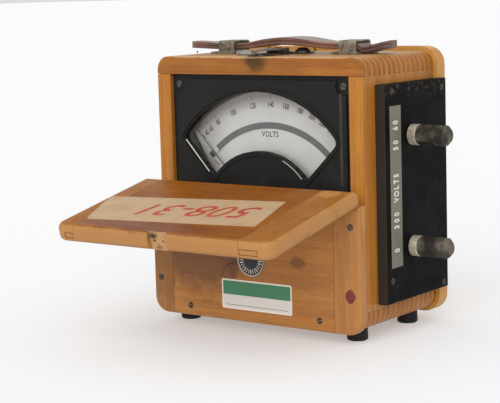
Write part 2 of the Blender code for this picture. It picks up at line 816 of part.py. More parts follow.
def window_outline(margin=0, steps=14):
    point_z = window_point_height - margin / math.sin(window_side_angle)
    edge = math.pi / 2 - window_side_angle
    rims = []
    for radius, centre_z in ((window_outer_radius + margin, window_outer_height),
                             (window_inner_radius - margin, window_inner_height)):
        x, z = ray_meets_circle(point_z, edge, radius, centre_z)
        angle = math.atan2(z - centre_z, x)
        rims.append(arc((window_middle, centre_z), radius, angle, math.pi - angle, steps))
    outer, inner = rims
    inner.reverse()
    corner = window_corner_radius + margin
    small = window_corner_radius / 2
    outline = rounded_corner(inner[-1], outer[0], outer[1], corner, 3)
    outline += outer_part(outer, outline[-1][0], 2 * window_middle - outline[-1][0])
    outline += rounded_corner(outer[-2], outer[-1], inner[0], corner, 3)
    outline += rounded_corner(outer[-1], inner[0], inner[1], small, 2)
    outline += [point for point in inner[1:-1] if abs(point[0] - inner[0][0]) > small
                and abs(point[0] - inner[-1][0]) > small]
    outline += rounded_corner(inner[-2], inner[-1], outer[0], small, 2)
    return outline


def outer_part(points, right, left):
    return [point for point in points if left + joint_gap < point[0] < right - joint_gap]


def panel_screw_places():
    places = []
    for x in (panel_left + panel_screw_inset_side, panel_right - panel_screw_inset_side):
        for z in (panel_bottom + panel_screw_inset_end, panel_top - panel_screw_inset_end):
            places.append((x, z))
    return places


def make_meter_panel():
    flange = rounded_rectangle(panel_left, panel_bottom, panel_right, panel_top, (0, 0, 0, 0))
    panel = add_object("meter_panel", slab(flange, "y", panel_flange_front, panel_back),
                       black_moulding, case_frame)
    raised = rounded_rectangle(panel_left + panel_border, panel_bottom + panel_border,
                               panel_right - panel_border, panel_top - panel_border, (0, 0, 0, 0))
    middle = (panel_flange_front + panel_back) / 2
    plateau = add_cutter("panel_plateau", slab(raised, "y", panel_face, middle), case_frame)
    join_with(panel, plateau)
    rib_margin = panel_rib_gap + panel_rib_width
    rib = slab(window_outline(rib_margin), "y", panel_face - panel_rib_rise, middle)
    join_with(panel, add_cutter("panel_rib", rib, opening_frame))
    lip = slab(window_outline(panel_rib_gap), "y", panel_face - cut_overrun, panel_face)
    cut_with(panel, add_cutter("panel_rib_inside", lip, opening_frame))
    opening = slab(window_outline(), "y", panel_face - cut_overrun, panel_back + cut_overrun)
    cut_with(panel, add_cutter("panel_opening", opening, opening_frame))
    for place in panel_screw_places():
        pocket = rod(panel_pocket_radius, panel_face - cut_overrun, panel_flange_front, "y", place)
        cut_with(panel, add_cutter("panel_screw_pocket", pocket, case_frame))
    hole = rod(zero_screw_radius + joint_gap, panel_face - cut_overrun, panel_back + cut_overrun, "y",
               (window_middle, zero_screw_height), round_steps)
    cut_with(panel, add_cutter("zero_screw_hole", hole, opening_frame))
    return panel


# Wooden blocks in the upper corners and a rail below take the panel's screws
def make_panel_blocks():
    front = panel_back + joint_gap
    back = front + panel_block_depth
    size = panel_block_size
    for side, low in (("left", panel_left), ("right", panel_right - size)):
        block = box((low, front, panel_top - size), (low + size, back, panel_top))
        add_object("upper_" + side + "_panel_block", block, varnished_wood, case_frame)
    rail = box((panel_left, front, panel_bottom), (panel_right, back, panel_bottom + size))
    add_object("lower_panel_rail", rail, varnished_wood, case_frame)


def make_window_glass():
    front = panel_back + joint_gap
    glass = slab(window_outline(glass_lap), "y", front, front + glass_thickness)
    add_object("window_glass", glass, clear_glass, meter_frame)


# Housing: a moulded box, open at the front, that keeps dust from the movement

def make_meter_housing():
    left = meter_middle - housing_width / 2
    right = meter_middle + housing_width / 2
    low = case_corner_radius
    high = housing_top_radius
    wall = housing_wall
    outer = rounded_rectangle(left, housing_bottom, right, housing_top, (low, low, high, high))
    inner = rounded_rectangle(left + wall, housing_bottom + wall, right - wall, housing_top - wall,
                              (low - wall, low - wall, high - wall, high - wall))
    step = housing_front + dial_box_depth
    drum_left = meter_middle - drum_width / 2
    drum_right = meter_middle + drum_width / 2
    drum = rounded_rectangle(drum_left, housing_bottom, drum_right, drum_top, (low,) * 4)
    drum_inner = rounded_rectangle(drum_left + wall, housing_bottom + wall, drum_right - wall,
                                   drum_top - wall, (low - wall,) * 4)
    housing = add_object("meter_housing", slab(outer, "y", housing_front, step),
                         black_moulding, meter_frame)
    deep = slab(drum, "y", step - wall / 2, housing_back)
    join_with(housing, add_cutter("housing_drum", deep, meter_frame))
    hollow = slab(inner, "y", housing_front - cut_overrun, step - wall)
    cut_with(housing, add_cutter("housing_hollow", hollow, meter_frame))
    hollow = slab(drum_inner, "y", step - wall - cut_overrun, housing_back - wall)
    cut_with(housing, add_cutter("housing_drum_hollow", hollow, meter_frame))
    for place in housing_lead_holes():
        hole = rod(lead_hole_radius, housing_back - wall - cut_overrun, housing_back + cut_overrun,
                   "y", place, small_steps)
        cut_with(housing, add_cutter("housing_lead_hole", hole, meter_frame))


def housing_lead_holes():
    spread = former_tube_radius
    height = staff_height - former_flange_radius - frame_floor_thickness * 2
    return ((meter_middle - spread, height), (meter_middle + spread, height))


# Dial and mirror

def make_dial():
    lean = math.tan(dial_side_lean)
    outline = [(meter_middle - dial_bottom_half_width, dial_bottom),
               (meter_middle + dial_bottom_half_width, dial_bottom)]
    radius = dial_radius
    height = dial_bottom - staff_height
    slope = dial_bottom_half_width - height * lean
    first = (-slope * lean + math.sqrt(radius * radius * (1 + lean * lean) - slope * slope))
    rise = first / (1 + lean * lean)
    angle = math.atan2(rise, slope + rise * lean)
    outline += arc((meter_middle, staff_height), radius, angle, math.pi - angle, 28)
    dial = slab(outline, "y", dial_front, dial_front + dial_thickness)
    add_object("dial_plate", dial, white_enamel, meter_frame)
    centre = (meter_middle, staff_height)
    half = mirror_half_angle
    quarter = math.pi / 2
    band = arc(centre, mirror_radius + mirror_width / 2, quarter - half, quarter + half, 28)
    band += arc(centre, mirror_radius - mirror_width / 2, quarter + half, quarter - half, 28)
    back = dial_front - joint_gap
    add_object("dial_mirror", slab(band, "y", back - mirror_rise, back), mirror_glass, meter_frame)


# Movement frame: a C of cast metal that holds the staff's two jewels, and a yoke for the dial

def make_movement_frame():
    half = frame_width / 2
    front = frame_arm_front
    arm_back = frame_front_back
    back = frame_back_front
    rear = frame_back_front + frame_back_thickness
    floor_low = frame_floor_top - frame_floor_thickness
    side = [(front, floor_low), (rear, floor_low), (rear, frame_back_top), (back, frame_back_top),
            (back, frame_floor_top), (arm_back, frame_floor_top), (arm_back, frame_front_top),
            (front, frame_front_top)]
    frame = add_object("movement_frame", slab(side, "x", meter_middle - half, meter_middle + half),
                       aluminium, meter_frame)
    yoke_half = dial_post_spread + dial_post_radius
    yoke_low = dial_post_height - dial_yoke_height / 2
    yoke = box((meter_middle - yoke_half, back, yoke_low),
               (meter_middle + yoke_half, rear, yoke_low + dial_yoke_height))
    join_with(frame, add_cutter("dial_yoke", yoke, meter_frame))
    for side_sign in (-1, 1):
        post = rod(dial_post_radius, dial_front + dial_thickness + joint_gap, rear - joint_gap, "y",
                   (meter_middle + side_sign * dial_post_spread, dial_post_height))
        join_with(frame, add_cutter("dial_post", post, meter_frame))
    for low, high in ((front, arm_back), (back, rear)):
        hole = rod(jewel_screw_radius + joint_gap, low - cut_overrun, high + cut_overrun, "y",
                   (meter_middle, staff_height), small_steps)
        cut_with(frame, add_cutter("jewel_screw_hole", hole, meter_frame))


# A screw with a cup in its end that the staff's point turns in
def make_jewel_screw(name, tail, tip):
    toward = 1 if tip > tail else -1
    cup = tip - toward * staff_radius * 2
    profile = [(0, tail), (jewel_screw_radius, tail), (jewel_screw_radius, tip),
               (staff_bore_radius, tip), (0, cup)]
    screw = turned(profile, "y", (meter_middle, staff_height), small_steps)
    add_object(name, screw, brass, meter_frame)


def make_jewels():
    make_jewel_screw("front_jewel_screw", frame_arm_front - jewel_front_reach,
                     frame_front_back + joint_gap)
    make_jewel_screw("rear_jewel_screw", frame_back_front + frame_back_thickness - joint_gap,
                     frame_back_front - joint_gap)


# Coil with its irons inside

def make_coil():
    centre = (meter_middle, staff_height)
    front = former_front
    back = former_front + former_length
    flange = former_flange_thickness
    tube = former_tube_radius
    rim = former_flange_radius
    bore = former_bore_radius
    former = turned([(bore, front), (rim, front), (rim, front + flange), (tube, front + flange),
                     (tube, back - flange), (rim, back - flange), (rim, back), (bore, back)],
                    "y", centre, fine_steps)
    add_object("coil_former", former, bakelite, meter_frame)
    low = front + flange + joint_gap
    high = back - flange - joint_gap
    inner = tube + joint_gap
    crown = joint_gap * 2
    winding = turned([(inner, low), (winding_radius - crown, low), (winding_radius, low + crown),
                      (winding_radius, high - crown), (winding_radius - crown, high), (inner, high)],
                     "y", centre, fine_steps)
    add_object("coil_winding", winding, copper_wire, meter_frame)
    outer = bore - joint_gap
    start = pointer_zero_angle + math.pi / 2
    span = fixed_iron_span
    shell = arc(centre, outer, start, start + span, 12)
    shell += arc(centre, outer - iron_thickness, start + span, start, 12)
    fixed = slab(shell, "y", front + iron_end_margin, back - iron_end_margin)
    add_object("fixed_iron", fixed, soft_iron, meter_frame)


# Pointer, staff, moving iron and vane share the staff's axis

staff_frame = new_empty("staff_frame", (meter_middle, 0, staff_height), meter_frame)


# A bar of oblong section through stations of (radius, front, half width, thickness)
def make_pointer():
    hub_front = pointer_hub_front
    root = pointer_root_half_width
    hub = pointer_hub_half_width
    thick = pointer_thickness
    reach = pointer_tail_length
    weight = reach * 2 / 3
    stations = [(-reach, hub_front, root * 2, thick * 3), (-weight, hub_front, root * 2, thick * 3),
                (-weight + thick, hub_front, root, thick * 2), (-hub, hub_front, root, thick * 2),
                (-hub / 2, hub_front, hub, thick * 2), (hub / 2, hub_front, hub, thick * 2),
                (hub, hub_front, root, thick * 2), (crank_start, hub_front, root, thick),
                (crank_end, pointer_front, root, thick),
                (pointer_length, pointer_front, pointer_tip_half_width, thick)]
    bm = bmesh.new()
    loops = []
    for radius, front, half_width, thickness in stations:
        corners = ((-half_width, front), (half_width, front), (half_width, front + thickness),
                   (-half_width, front + thickness))
        loops.append([bm.verts.new((radius, y, across)) for across, y in corners])
    bm.faces.new(loops[0])
    bm.faces.new(list(reversed(loops[-1])))
    for first, second in zip(loops, loops[1:]):
        for index in range(4):
            following = (index + 1) % 4
            bm.faces.new((first[index], first[following], second[following], second[index]))
    turn = Matrix.Rotation(-pointer_zero_angle, 4, "Y")
    bmesh.ops.transform(bm, matrix=turn, verts=bm.verts)
    pointer = add_object("pointer", bm, pointer_paint, staff_frame, smooth=False)
    bore = rod(staff_bore_radius, hub_front - cut_overrun, hub_front + cut_overrun, "y", (0, 0),
               small_steps)
    cut_with(pointer, add_cutter("pointer_bore", bore, staff_frame))


def make_staff():
    front = staff_front
    back = staff_back
    point = staff_radius * 2
    spring_middle = spring_front + spring_width / 2
    collet_front = spring_middle - collet_length / 2
    collet_back = spring_middle + collet_length / 2
    profile = [(0, front), (staff_radius, front + point), (staff_radius, collet_front),
               (collet_radius, collet_front), (collet_radius, collet_back),
               (staff_radius, collet_back), (staff_radius, back - point), (0, back)]
    add_object("pointer_staff", turned(profile, "y", (0, 0), small_steps), soft_iron, staff_frame)


# A paddle on the staff: a hub, an arm, and a head that lies along an arc
def make_moving_iron():
    hub = staff_bore_radius + iron_thickness
    head = former_bore_radius - joint_gap * 4 - iron_thickness
    inner = head - iron_thickness
    half = moving_iron_span / 2
    centre_angle = pointer_zero_angle + math.pi
    arm_half = math.asin(iron_thickness / (2 * inner))
    hub_half = math.asin(iron_thickness / (2 * hub))
    outline = arc((0, 0), head, centre_angle - half, centre_angle + half, 8)
    outline += arc((0, 0), inner, centre_angle + half, centre_angle + arm_half, 4)
    outline += arc((0, 0), hub, centre_angle + hub_half, centre_angle + 2 * math.pi - hub_half,
                   small_steps)
    outline += arc((0, 0), inner, centre_angle - arm_half, centre_angle - half, 4)
    front = former_front + iron_end_margin
    back = former_front + former_length - iron_end_margin
    iron = add_object("moving_iron", slab(outline, "y", front, back), soft_iron, staff_frame)
    bore = rod(staff_bore_radius, front - cut_overrun, back + cut_overrun, "y", (0, 0), small_steps)
    cut_with(iron, add_cutter("moving_iron_bore", bore, staff_frame))


def sector(radius_in, radius_out, middle, half, steps):
    points = arc((0, 0), radius_out, middle - half, middle + half, steps)
    points += arc((0, 0), radius_in, middle + half, middle - half, steps)
    return points


def make_damper():
    middle = -math.pi / 2
    back = frame_back_front - joint_gap
    wall_angle = damper_wall / damper_radius
    pan = add_object("damping_chamber",
                     slab(sector(damper_inner_radius, damper_radius, middle, damper_half_span, 16),
                          "y", damper_front, back), aluminium, staff_chamber_frame)
    inner = sector(damper_inner_radius / 2, damper_radius - damper_wall, middle,
                   damper_half_span - wall_angle, 16)
    hollow = slab(inner, "y", damper_front - cut_overrun, back - damper_back_wall)
    cut_with(pan, add_cutter("damping_chamber_hollow", hollow, staff_chamber_frame))

    # The vane stands opposite the pointer and sweeps the chamber
    front = damper_front + joint_gap * 2
    rear = back - damper_back_wall - joint_gap * 2
    half = damper_vane_thickness / 2
    reach = damper_radius - damper_wall - joint_gap * 3
    hub = staff_bore_radius + iron_thickness
    bm = rod(hub, front, rear, "y", (0, 0), small_steps)
    vane = add_object("damping_vane", bm, aluminium, staff_frame)
    blade = box((staff_bore_radius + joint_gap, front, -half), (reach, rear, half))
    bmesh.ops.transform(blade, matrix=Matrix.Rotation(-pointer_zero_angle - math.pi, 4, "Y"),
                        verts=blade.verts)
    join_with(vane, add_cutter("damping_blade", blade, staff_frame))
    bore = rod(staff_bore_radius, front - cut_overrun, rear + cut_overrun, "y", (0, 0), small_steps)
    cut_with(vane, add_cutter("damping_vane_bore", bore, staff_frame))


staff_chamber_frame = new_empty("staff_chamber_frame", (meter_middle, 0, staff_height), meter_frame)


# Zero setting: a slotted screw in the panel turns an eccentric in the fork of a lever,
# and the lever carries the hairspring's outer end round the staff

zero_screw_frame = new_empty("zero_screw_frame", (window_middle, 0, zero_screw_height), meter_frame)
zero_lever_frame = new_empty("zero_lever_frame", (meter_middle, 0, staff_height), meter_frame)


def make_zero_setting():
    head_front = panel_face - zero_head_rise
    shank_back = panel_back + joint_gap
    screw = add_object("zero_screw", rod(zero_screw_radius, head_front, shank_back, "y", (0, 0)),
                       bakelite, zero_screw_frame)
    eccentric = rod(eccentric_radius, shank_back - joint_gap, zero_screw_back, "y",
                    (meter_middle - window_middle, -eccentric_offset), small_steps)
    join_with(screw, add_cutter("zero_eccentric", eccentric, zero_screw_frame))
    slot = box((-zero_screw_radius - cut_overrun, head_front - cut_overrun, -zero_slot_width / 2),
               (zero_screw_radius + cut_overrun, head_front + zero_slot_depth, zero_slot_width / 2))
    cut_with(screw, add_cutter("zero_slot", slot, zero_screw_frame))

    front = zero_lever_front
    back = front + zero_lever_thickness
    half = zero_lever_half_width
    fork_top = eccentric_height - staff_height + eccentric_radius * 2
    stud_x = -(spring_outer_radius + zero_pin_radius)
    lever = add_object("zero_lever", rod(zero_ring_radius, front, back, "y", (0, 0)), brass,
                       zero_lever_frame)
    arm = box((-half, front, 0), (half, back, fork_top))
    join_with(lever, add_cutter("zero_lever_arm", arm, zero_lever_frame))
    side_arm = box((stud_x - half, front, -half), (0, back, half))
    join_with(lever, add_cutter("zero_lever_side_arm", side_arm, zero_lever_frame))
    pin = rod(zero_pin_radius, front + joint_gap, spring_front + spring_width, "y",
              (stud_x - zero_pin_radius, 0), small_steps)
    join_with(lever, add_cutter("zero_lever_pin", pin, zero_lever_frame))
    bore = rod(jewel_screw_radius + joint_gap, front - cut_overrun, back + cut_overrun, "y", (0, 0),
               small_steps)
    cut_with(lever, add_cutter("zero_lever_bore", bore, zero_lever_frame))
    fork_half = eccentric_radius + joint_gap
    fork_low = eccentric_height - staff_height - eccentric_radius * 2
    fork = box((-fork_half, front - cut_overrun, fork_low), (fork_half, back + cut_overrun,
                                                             fork_top + cut_overrun))
    cut_with(lever, add_cutter("zero_fork", fork, zero_lever_frame))


# A flat strip wound from the collet out to the lever's pin
def make_hairspring():
    bm = bmesh.new()
    count = spring_turns * spring_points_per_turn
    half = spring_strip_thickness / 2
    loops = []
    for index in range(count + 1):
        share = index / count
        angle = math.pi - 2 * math.pi * spring_turns * (1 - share)
        radius = spring_inner_radius + (spring_outer_radius - spring_inner_radius) * share
        ring = []
        for reach, y in ((radius - half, spring_front), (radius + half, spring_front),
                         (radius + half, spring_front + spring_width),
                         (radius - half, spring_front + spring_width)):
            ring.append(bm.verts.new((reach * math.cos(angle), y, reach * math.sin(angle))))
        loops.append(ring)
    bm.faces.new(loops[0])
    bm.faces.new(list(reversed(loops[-1])))
    for first, second in zip(loops, loops[1:]):
        for index in range(4):
            following = (index + 1) % 4
            bm.faces.new((first[index], first[following], second[following], second[index]))
    add_object("hairspring", bm, brass, zero_lever_frame)


# Series resistors: wound tubes between two feet on the back board

resistor_back = meter_case_depth - joint_gap


def make_resistor(name, x):
    low = resistor_height - resistor_length / 2
    high = resistor_height + resistor_length / 2
    axis_y = resistor_back - resistor_end_radius
    foot = resistor_foot_thickness
    profile = [(0, low - foot), (resistor_end_radius, low - foot), (resistor_end_radius, low),
               (resistor_radius, low), (resistor_radius, high), (resistor_end_radius, high),
               (resistor_end_radius, high + foot), (0, high + foot)]
    add_object(name, turned(profile, "z", (x, axis_y)), ceramic, resistor_frame)


def resistor_places():
    middle = meter_case_width * resistor_left_share
    return middle - resistor_spread / 2, middle + resistor_spread / 2


# Leads, each a smooth tube through its own points

def make_lead(name, points):
    curve = bpy.data.curves.new(name, "CURVE")
    curve.dimensions = "3D"
    curve.bevel_depth = lead_radius
    curve.bevel_resolution = 2
    curve.use_fill_caps = True
    smooth = []
    steps = 4
    ends = [points[0]] + points + [points[-1]]
    for index in range(1, len(ends) - 2):
        before, start, end, after = (Vector(ends[index + step]) for step in (-1, 0, 1, 2))
        for step in range(steps):
            share = step / steps
            part = (start * 2 + (end - before) * share
                    + (before * 2 - start * 5 + end * 4 - after) * share ** 2
                    + (start * 3 - before - end * 3 + after) * share ** 3)
            smooth.append(part / 2)
    smooth.append(Vector(points[-1]))
    spline = curve.splines.new("POLY")
    spline.points.add(len(smooth) - 1)
    for point, place in zip(spline.points, smooth):
        point.co = (*place, 1)
    curve.materials.append(cotton_sleeve)
    obj = bpy.data.objects.new(name, curve)
    obj.parent = case_frame
    bpy.context.scene.collection.objects.link(obj)


def from_meter(x, y, z):
    return meter_frame.location + Vector((x, y, z)) * meter_fit


def from_resistors(x, y, z):
    return resistor_frame.location + Vector((x, y, z)) * meter_fit


def make_leads():
    left_x, right_x = resistor_places()
    axis_y = resistor_back - resistor_end_radius
    top = resistor_height + resistor_length / 2 + resistor_foot_thickness + joint_gap
    low = resistor_height - resistor_length / 2 - resistor_foot_thickness - joint_gap
    stud_end = case_width - side_board_thickness - stud_inner_reach - joint_gap * 2
    high_z, low_z = terminal_heights
    drop = lead_radius * 6
    side = stud_end - drop
    behind = from_meter(0, housing_back + resistor_radius, 0).y
    make_lead("upper_lead", [(stud_end, terminal_back, high_z), (side, terminal_back + drop, high_z),
                             (side - lead_radius, behind, high_z),
                             from_resistors(right_x + drop, axis_y, top + drop * 2),
                             from_resistors(right_x, axis_y, top + drop),
                             from_resistors(right_x, axis_y, top)])
    holes = housing_lead_holes()
    inner_y = frame_back_front + frame_back_thickness + joint_gap
    reach = housing_back + lead_radius * 5
    near = housing_back + lead_radius
    ends = [[from_meter(x, y, z) for y in (reach, near, inner_y)] for x, z in holes]
    make_lead("coil_lead", [from_resistors(left_x, axis_y, low),
                            from_resistors(left_x, axis_y, low - drop),
                            from_resistors(holes[1][0] + drop, axis_y - drop / 2, holes[1][1] + drop / 2),
                            *ends[1]])
    make_lead("lower_lead", [(stud_end, terminal_back, low_z), (side, terminal_back + drop, low_z),
                             (side - lead_radius, behind, low_z - drop),
                             from_resistors(meter_middle + housing_width / 4, axis_y, holes[0][1] - drop),
                             from_resistors(holes[0][0] + drop, axis_y - drop / 2, holes[0][1] - drop),
                             *ends[0]])


# Terminal panel: it laps over the edge of the back board, so its back is rebated there

def make_terminal_panel():
    low = case_width + joint_gap
    outline = rounded_rectangle(terminal_panel_front, terminal_panel_bottom, terminal_panel_back,
                                terminal_panel_top, (0, 0, 0, 0))
    bm = slab(outline, "x", low, terminal_face)
    rim = [edge for edge in bm.edges
           if min(edge.verts[0].co.x, edge.verts[1].co.x) > terminal_face - joint_gap]
    bmesh.ops.bevel(bm, geom=rim, offset=terminal_edge_round, offset_type="OFFSET", segments=2,
                    profile=0.5, affect="EDGES", clamp_overlap=True, material=-1)
    panel = add_object("terminal_panel", bm, ebonite, case_frame)
    depth = back_overhang + joint_gap
    rebate = box((low - cut_overrun, terminal_panel_back - terminal_rebate_width,
                  terminal_panel_bottom - cut_overrun),
                 (case_width + depth, terminal_panel_back + cut_overrun,
                  terminal_panel_top + cut_overrun))
    cut_with(panel, add_cutter("terminal_rebate", rebate, case_frame))
    return panel


# A binding post: a stud held by a nut, a captive collar, and a knob that screws out along it
def make_binding_post(side, height, panel, right_board):
    centre = (terminal_back, height)
    inner_face = case_width - side_board_thickness
    nut_high = inner_face - joint_gap
    nut_low = nut_high - stud_nut_thickness
    tail = inner_face - stud_inner_reach
    stud_tip = terminal_face + joint_gap + collar_length + knob_length * (1 - knob_cap_share)
    profile = [(0, tail), (stud_radius, tail), (stud_radius, nut_low), (stud_nut_radius, nut_low),
               (stud_nut_radius, nut_high), (stud_radius, nut_high), (stud_radius, stud_tip),
               (0, stud_tip)]
    add_object(side + "_terminal_stud", turned(profile, "x", centre, round_steps), brass, case_frame)
    hole = rod(stud_bore_radius, inner_face - cut_overrun, terminal_face + cut_overrun, "x", centre)
    cutter = add_cutter(side + "_stud_hole", hole, case_frame)
    cut_with(panel, cutter)
    cut_with(right_board, cutter)

    # The collar slides out with the knob, the knob turns on it as well
    slide_frame = new_empty(side + "_slide_frame", (terminal_face, *centre), case_frame)
    low = joint_gap
    high = low + collar_length
    lip = knob_groove_depth
    collar = turned([(stud_bore_radius, low), (collar_radius - lip, low), (collar_radius, low + lip),
                     (collar_radius, high - lip), (collar_radius - lip, high),
                     (stud_bore_radius, high)], "x", (0, 0), fine_steps)
    add_object(side + "_terminal_collar", collar, nickel, slide_frame)
    low = high + joint_gap
    end = low + knob_length
    cap = end - knob_length * knob_cap_share
    dome = end - knob_length * knob_dome_share
    groove = knob_radius - knob_groove_depth
    bore_end = stud_tip - terminal_face + joint_gap
    crown = knob_radius - (end - dome)
    knob = turned([(stud_bore_radius, low), (groove, low), (knob_radius, low + lip),
                   (knob_radius, cap - 2 * lip), (groove, cap - lip), (groove, cap),
                   (knob_radius, cap + lip), (knob_radius, dome), (crown, end),
                   (0, end), (0, bore_end), (stud_bore_radius, bore_end)],
                  "x", (0, 0), fine_steps)
    add_object(side + "_terminal_knob", knob, bakelite, slide_frame)


# Carrying strap: a thick leather strip that bows up between two metal keepers

strap_left = strap_left_overhang
strap_right = strap_left + strap_length
left_keeper_x = left_keeper_middle
right_keeper_x = right_keeper_middle


def smooth_step(value):
    held = min(max(value, 0), 1)
    return held * held * (3 - 2 * held)


# Shares of the way between the keepers' loops, and past the right one; below 0 or above 1 outside
def bow_share(x):
    left_inner = left_keeper_x + keeper_loop_width / 2
    return (x - left_inner) / (right_keeper_x - keeper_loop_width / 2 - left_inner)


def tail_share(x):
    right_outer = right_keeper_x + keeper_loop_width / 2
    return (x - right_outer) / (strap_right - right_outer)


def head_share(x):
    left_outer = left_keeper_x - keeper_loop_width / 2
    return (left_outer - x) / (left_outer - strap_left)


# Height of the strap's underside above its rest, its half width and its thickness, along its length
def strap_section(x):
    rise = 0
    half = strap_keeper_width / 2
    thickness = strap_thickness
    bow = bow_share(x)
    tail = tail_share(x)
    head = head_share(x)
    narrowing = (strap_keeper_width - strap_end_width) / 2
    if 0 < bow < 1:
        swell = math.sin(math.pi * bow) ** 2
        rise = strap_bow_rise * swell
        thickness += strap_bow_thickening * swell
        half += (strap_middle_width - strap_keeper_width) / 2 * smooth_step(min(bow, 1 - bow) * 3)
    if tail > 0:
        curl = max(tail - strap_curl_share, 0) / (1 - strap_curl_share)
        rise = strap_curl_rise * curl - strap_droop * smooth_step(tail / strap_dip_share)
        half -= narrowing * tail
    if head > 0:
        rise = strap_end_rise * smooth_step(head)
        half -= narrowing * head
    return rise, half, thickness


def make_strap():
    count = 60
    step = strap_length / count
    bm = bmesh.new()
    loops = []
    for index in range(count + 1):
        x = strap_left + step * index
        rise, half, thickness = strap_section(x)
        corners = ((-half, rise), (half, rise), (half, rise + thickness), (-half, rise + thickness))
        loops.append([bm.verts.new((x, y, z)) for y, z in corners])
    bm.faces.new(loops[0])
    bm.faces.new(list(reversed(loops[-1])))
    for first, second in zip(loops, loops[1:]):
        for index in range(4):
            following = (index + 1) % 4
            bm.faces.new((first[index], first[following], second[following], second[index]))
    strap_frame = new_empty("strap_frame", (0, strap_centre_back, case_height + strap_rest), case_frame)
    add_object("carrying_strap", bm, brown_leather, strap_frame)


# The base of a keeper has a bay under the strap on its right, where the strap dips
def make_keeper(name, x):
    inner_half = strap_keeper_width / 2 + joint_gap * 2
    outer_half = inner_half + keeper_wall
    base_low = case_height + joint_gap
    base_high = case_height + keeper_base_thickness
    inside_top = case_height + strap_rest + strap_thickness + keeper_headroom + joint_gap
    outside_top = inside_top + keeper_wall
    middle = strap_centre_back
    half_loop = keeper_loop_width / 2
    flange_half = outer_half + keeper_flange
    loop = rounded_rectangle(middle - outer_half, base_low, middle + outer_half, outside_top,
                             (0, 0, keeper_wall * 2, keeper_wall * 2), 3)
    keeper = add_object(name, slab(loop, "x", x - half_loop, x + half_loop), tarnished_steel, case_frame)
    inside = box((x - half_loop - cut_overrun, middle - inner_half, base_high),
                 (x + half_loop + cut_overrun, middle + inner_half, inside_top))
    cut_with(keeper, add_cutter(name + "_inside", inside, case_frame))
    base_half = keeper_base_length / 2
    base_top = base_low + keeper_base_thickness / 2
    base = box((x - base_half, middle - flange_half, base_low),
               (x + base_half, middle + flange_half, base_top))
    join_with(keeper, add_cutter(name + "_base", base, case_frame))
    bay = box((x + half_loop, middle - inner_half, base_low - cut_overrun),
              (x + base_half + cut_overrun, middle + inner_half, base_top + cut_overrun))
    cut_with(keeper, add_cutter(name + "_bay", bay, case_frame))


# Rubber feet, each with a recess for its screw

def make_foot(name, x, y):
    top = -joint_gap
    bottom = -foot_height
    lip = joint_gap * 3
    profile = [(foot_recess_radius, bottom), (foot_radius - lip, bottom), (foot_radius, bottom + lip),
               (foot_top_radius, top), (0, top), (0, bottom + foot_recess_depth),
               (foot_recess_radius, bottom + foot_recess_depth)]
    add_object(name, turned(profile, "z", (x, y)), black_rubber, case_frame)


def make_feet():
    for side, x in (("left", foot_side_inset), ("right", case_width - foot_side_inset)):
        make_foot("front_" + side + "_foot", x, foot_front_inset)
        make_foot("rear_" + side + "_foot", x, case_depth - foot_back_inset)


# Build

case_boards = make_case_boards()
make_back_board()
lower_board, lower_clamps = make_lower_front()
lid_board = make_lid()
hinged = {"lower": lower_board, "lid": lid_board}
make_hinge("left", -case_middle + hinge_inset, hinged)
make_hinge("right", case_middle - hinge_inset - leaf_length, hinged)
make_catch()
make_meter_panel()
make_panel_blocks()
make_window_glass()
make_meter_housing()
make_dial()
make_movement_frame()
make_jewels()
make_coil()
make_pointer()
make_staff()
make_moving_iron()
make_damper()
make_zero_setting()
make_hairspring()
resistor_left_x, resistor_right_x = resistor_places()
make_resistor("left_resistor", resistor_left_x)
make_resistor("right_resistor", resistor_right_x)
make_leads()
side_panel = make_terminal_panel()
make_binding_post("upper", terminal_heights[0], side_panel, case_boards["right_side_board"])
make_binding_post("lower", terminal_heights[1], side_panel, case_boards["right_side_board"])
make_strap()
make_keeper("left_strap_keeper", left_keeper_x)
make_keeper("right_strap_keeper", right_keeper_x)
make_feet()
bpy.context.view_layer.update()
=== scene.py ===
import math

import bmesh
import bpy
from mathutils import Matrix, Vector, noise as fields


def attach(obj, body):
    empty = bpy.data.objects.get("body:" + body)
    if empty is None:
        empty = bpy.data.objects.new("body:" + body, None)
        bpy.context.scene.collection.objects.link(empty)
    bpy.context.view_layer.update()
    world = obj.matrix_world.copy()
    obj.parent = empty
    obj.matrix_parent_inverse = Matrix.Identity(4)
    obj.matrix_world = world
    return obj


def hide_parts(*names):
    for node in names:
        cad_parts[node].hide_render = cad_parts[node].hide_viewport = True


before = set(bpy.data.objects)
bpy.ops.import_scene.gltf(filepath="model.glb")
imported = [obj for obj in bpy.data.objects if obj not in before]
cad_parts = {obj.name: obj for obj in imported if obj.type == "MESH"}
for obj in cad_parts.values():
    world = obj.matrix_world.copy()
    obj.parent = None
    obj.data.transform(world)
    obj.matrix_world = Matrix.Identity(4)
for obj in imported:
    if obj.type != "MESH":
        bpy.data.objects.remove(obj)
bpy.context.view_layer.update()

print("frame loaded:", len(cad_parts), "nodes")

# From the case's own corner (left, front, underside) to the row frame
caseCorner = Vector((-0.10895, 0.004027, 0.0090))
caseHeight = 190.0
mm = 0.001


def place(x, y, z):
    return caseCorner + Vector((x, y, z)) * mm


def linkNew(name, data):
    obj = bpy.data.objects.new(name, data)
    bpy.context.scene.collection.objects.link(obj)
    return obj


camera = {
    "position": (757.93, -891.98, 239.14),   # mm from the case's corner
    "yaw": 37.07,
    "pitch": 7.516,
    "roll": -1.635,
    "lens": 112.38,
    "shiftX": -0.0021,
    "shiftY": -0.0168,
}


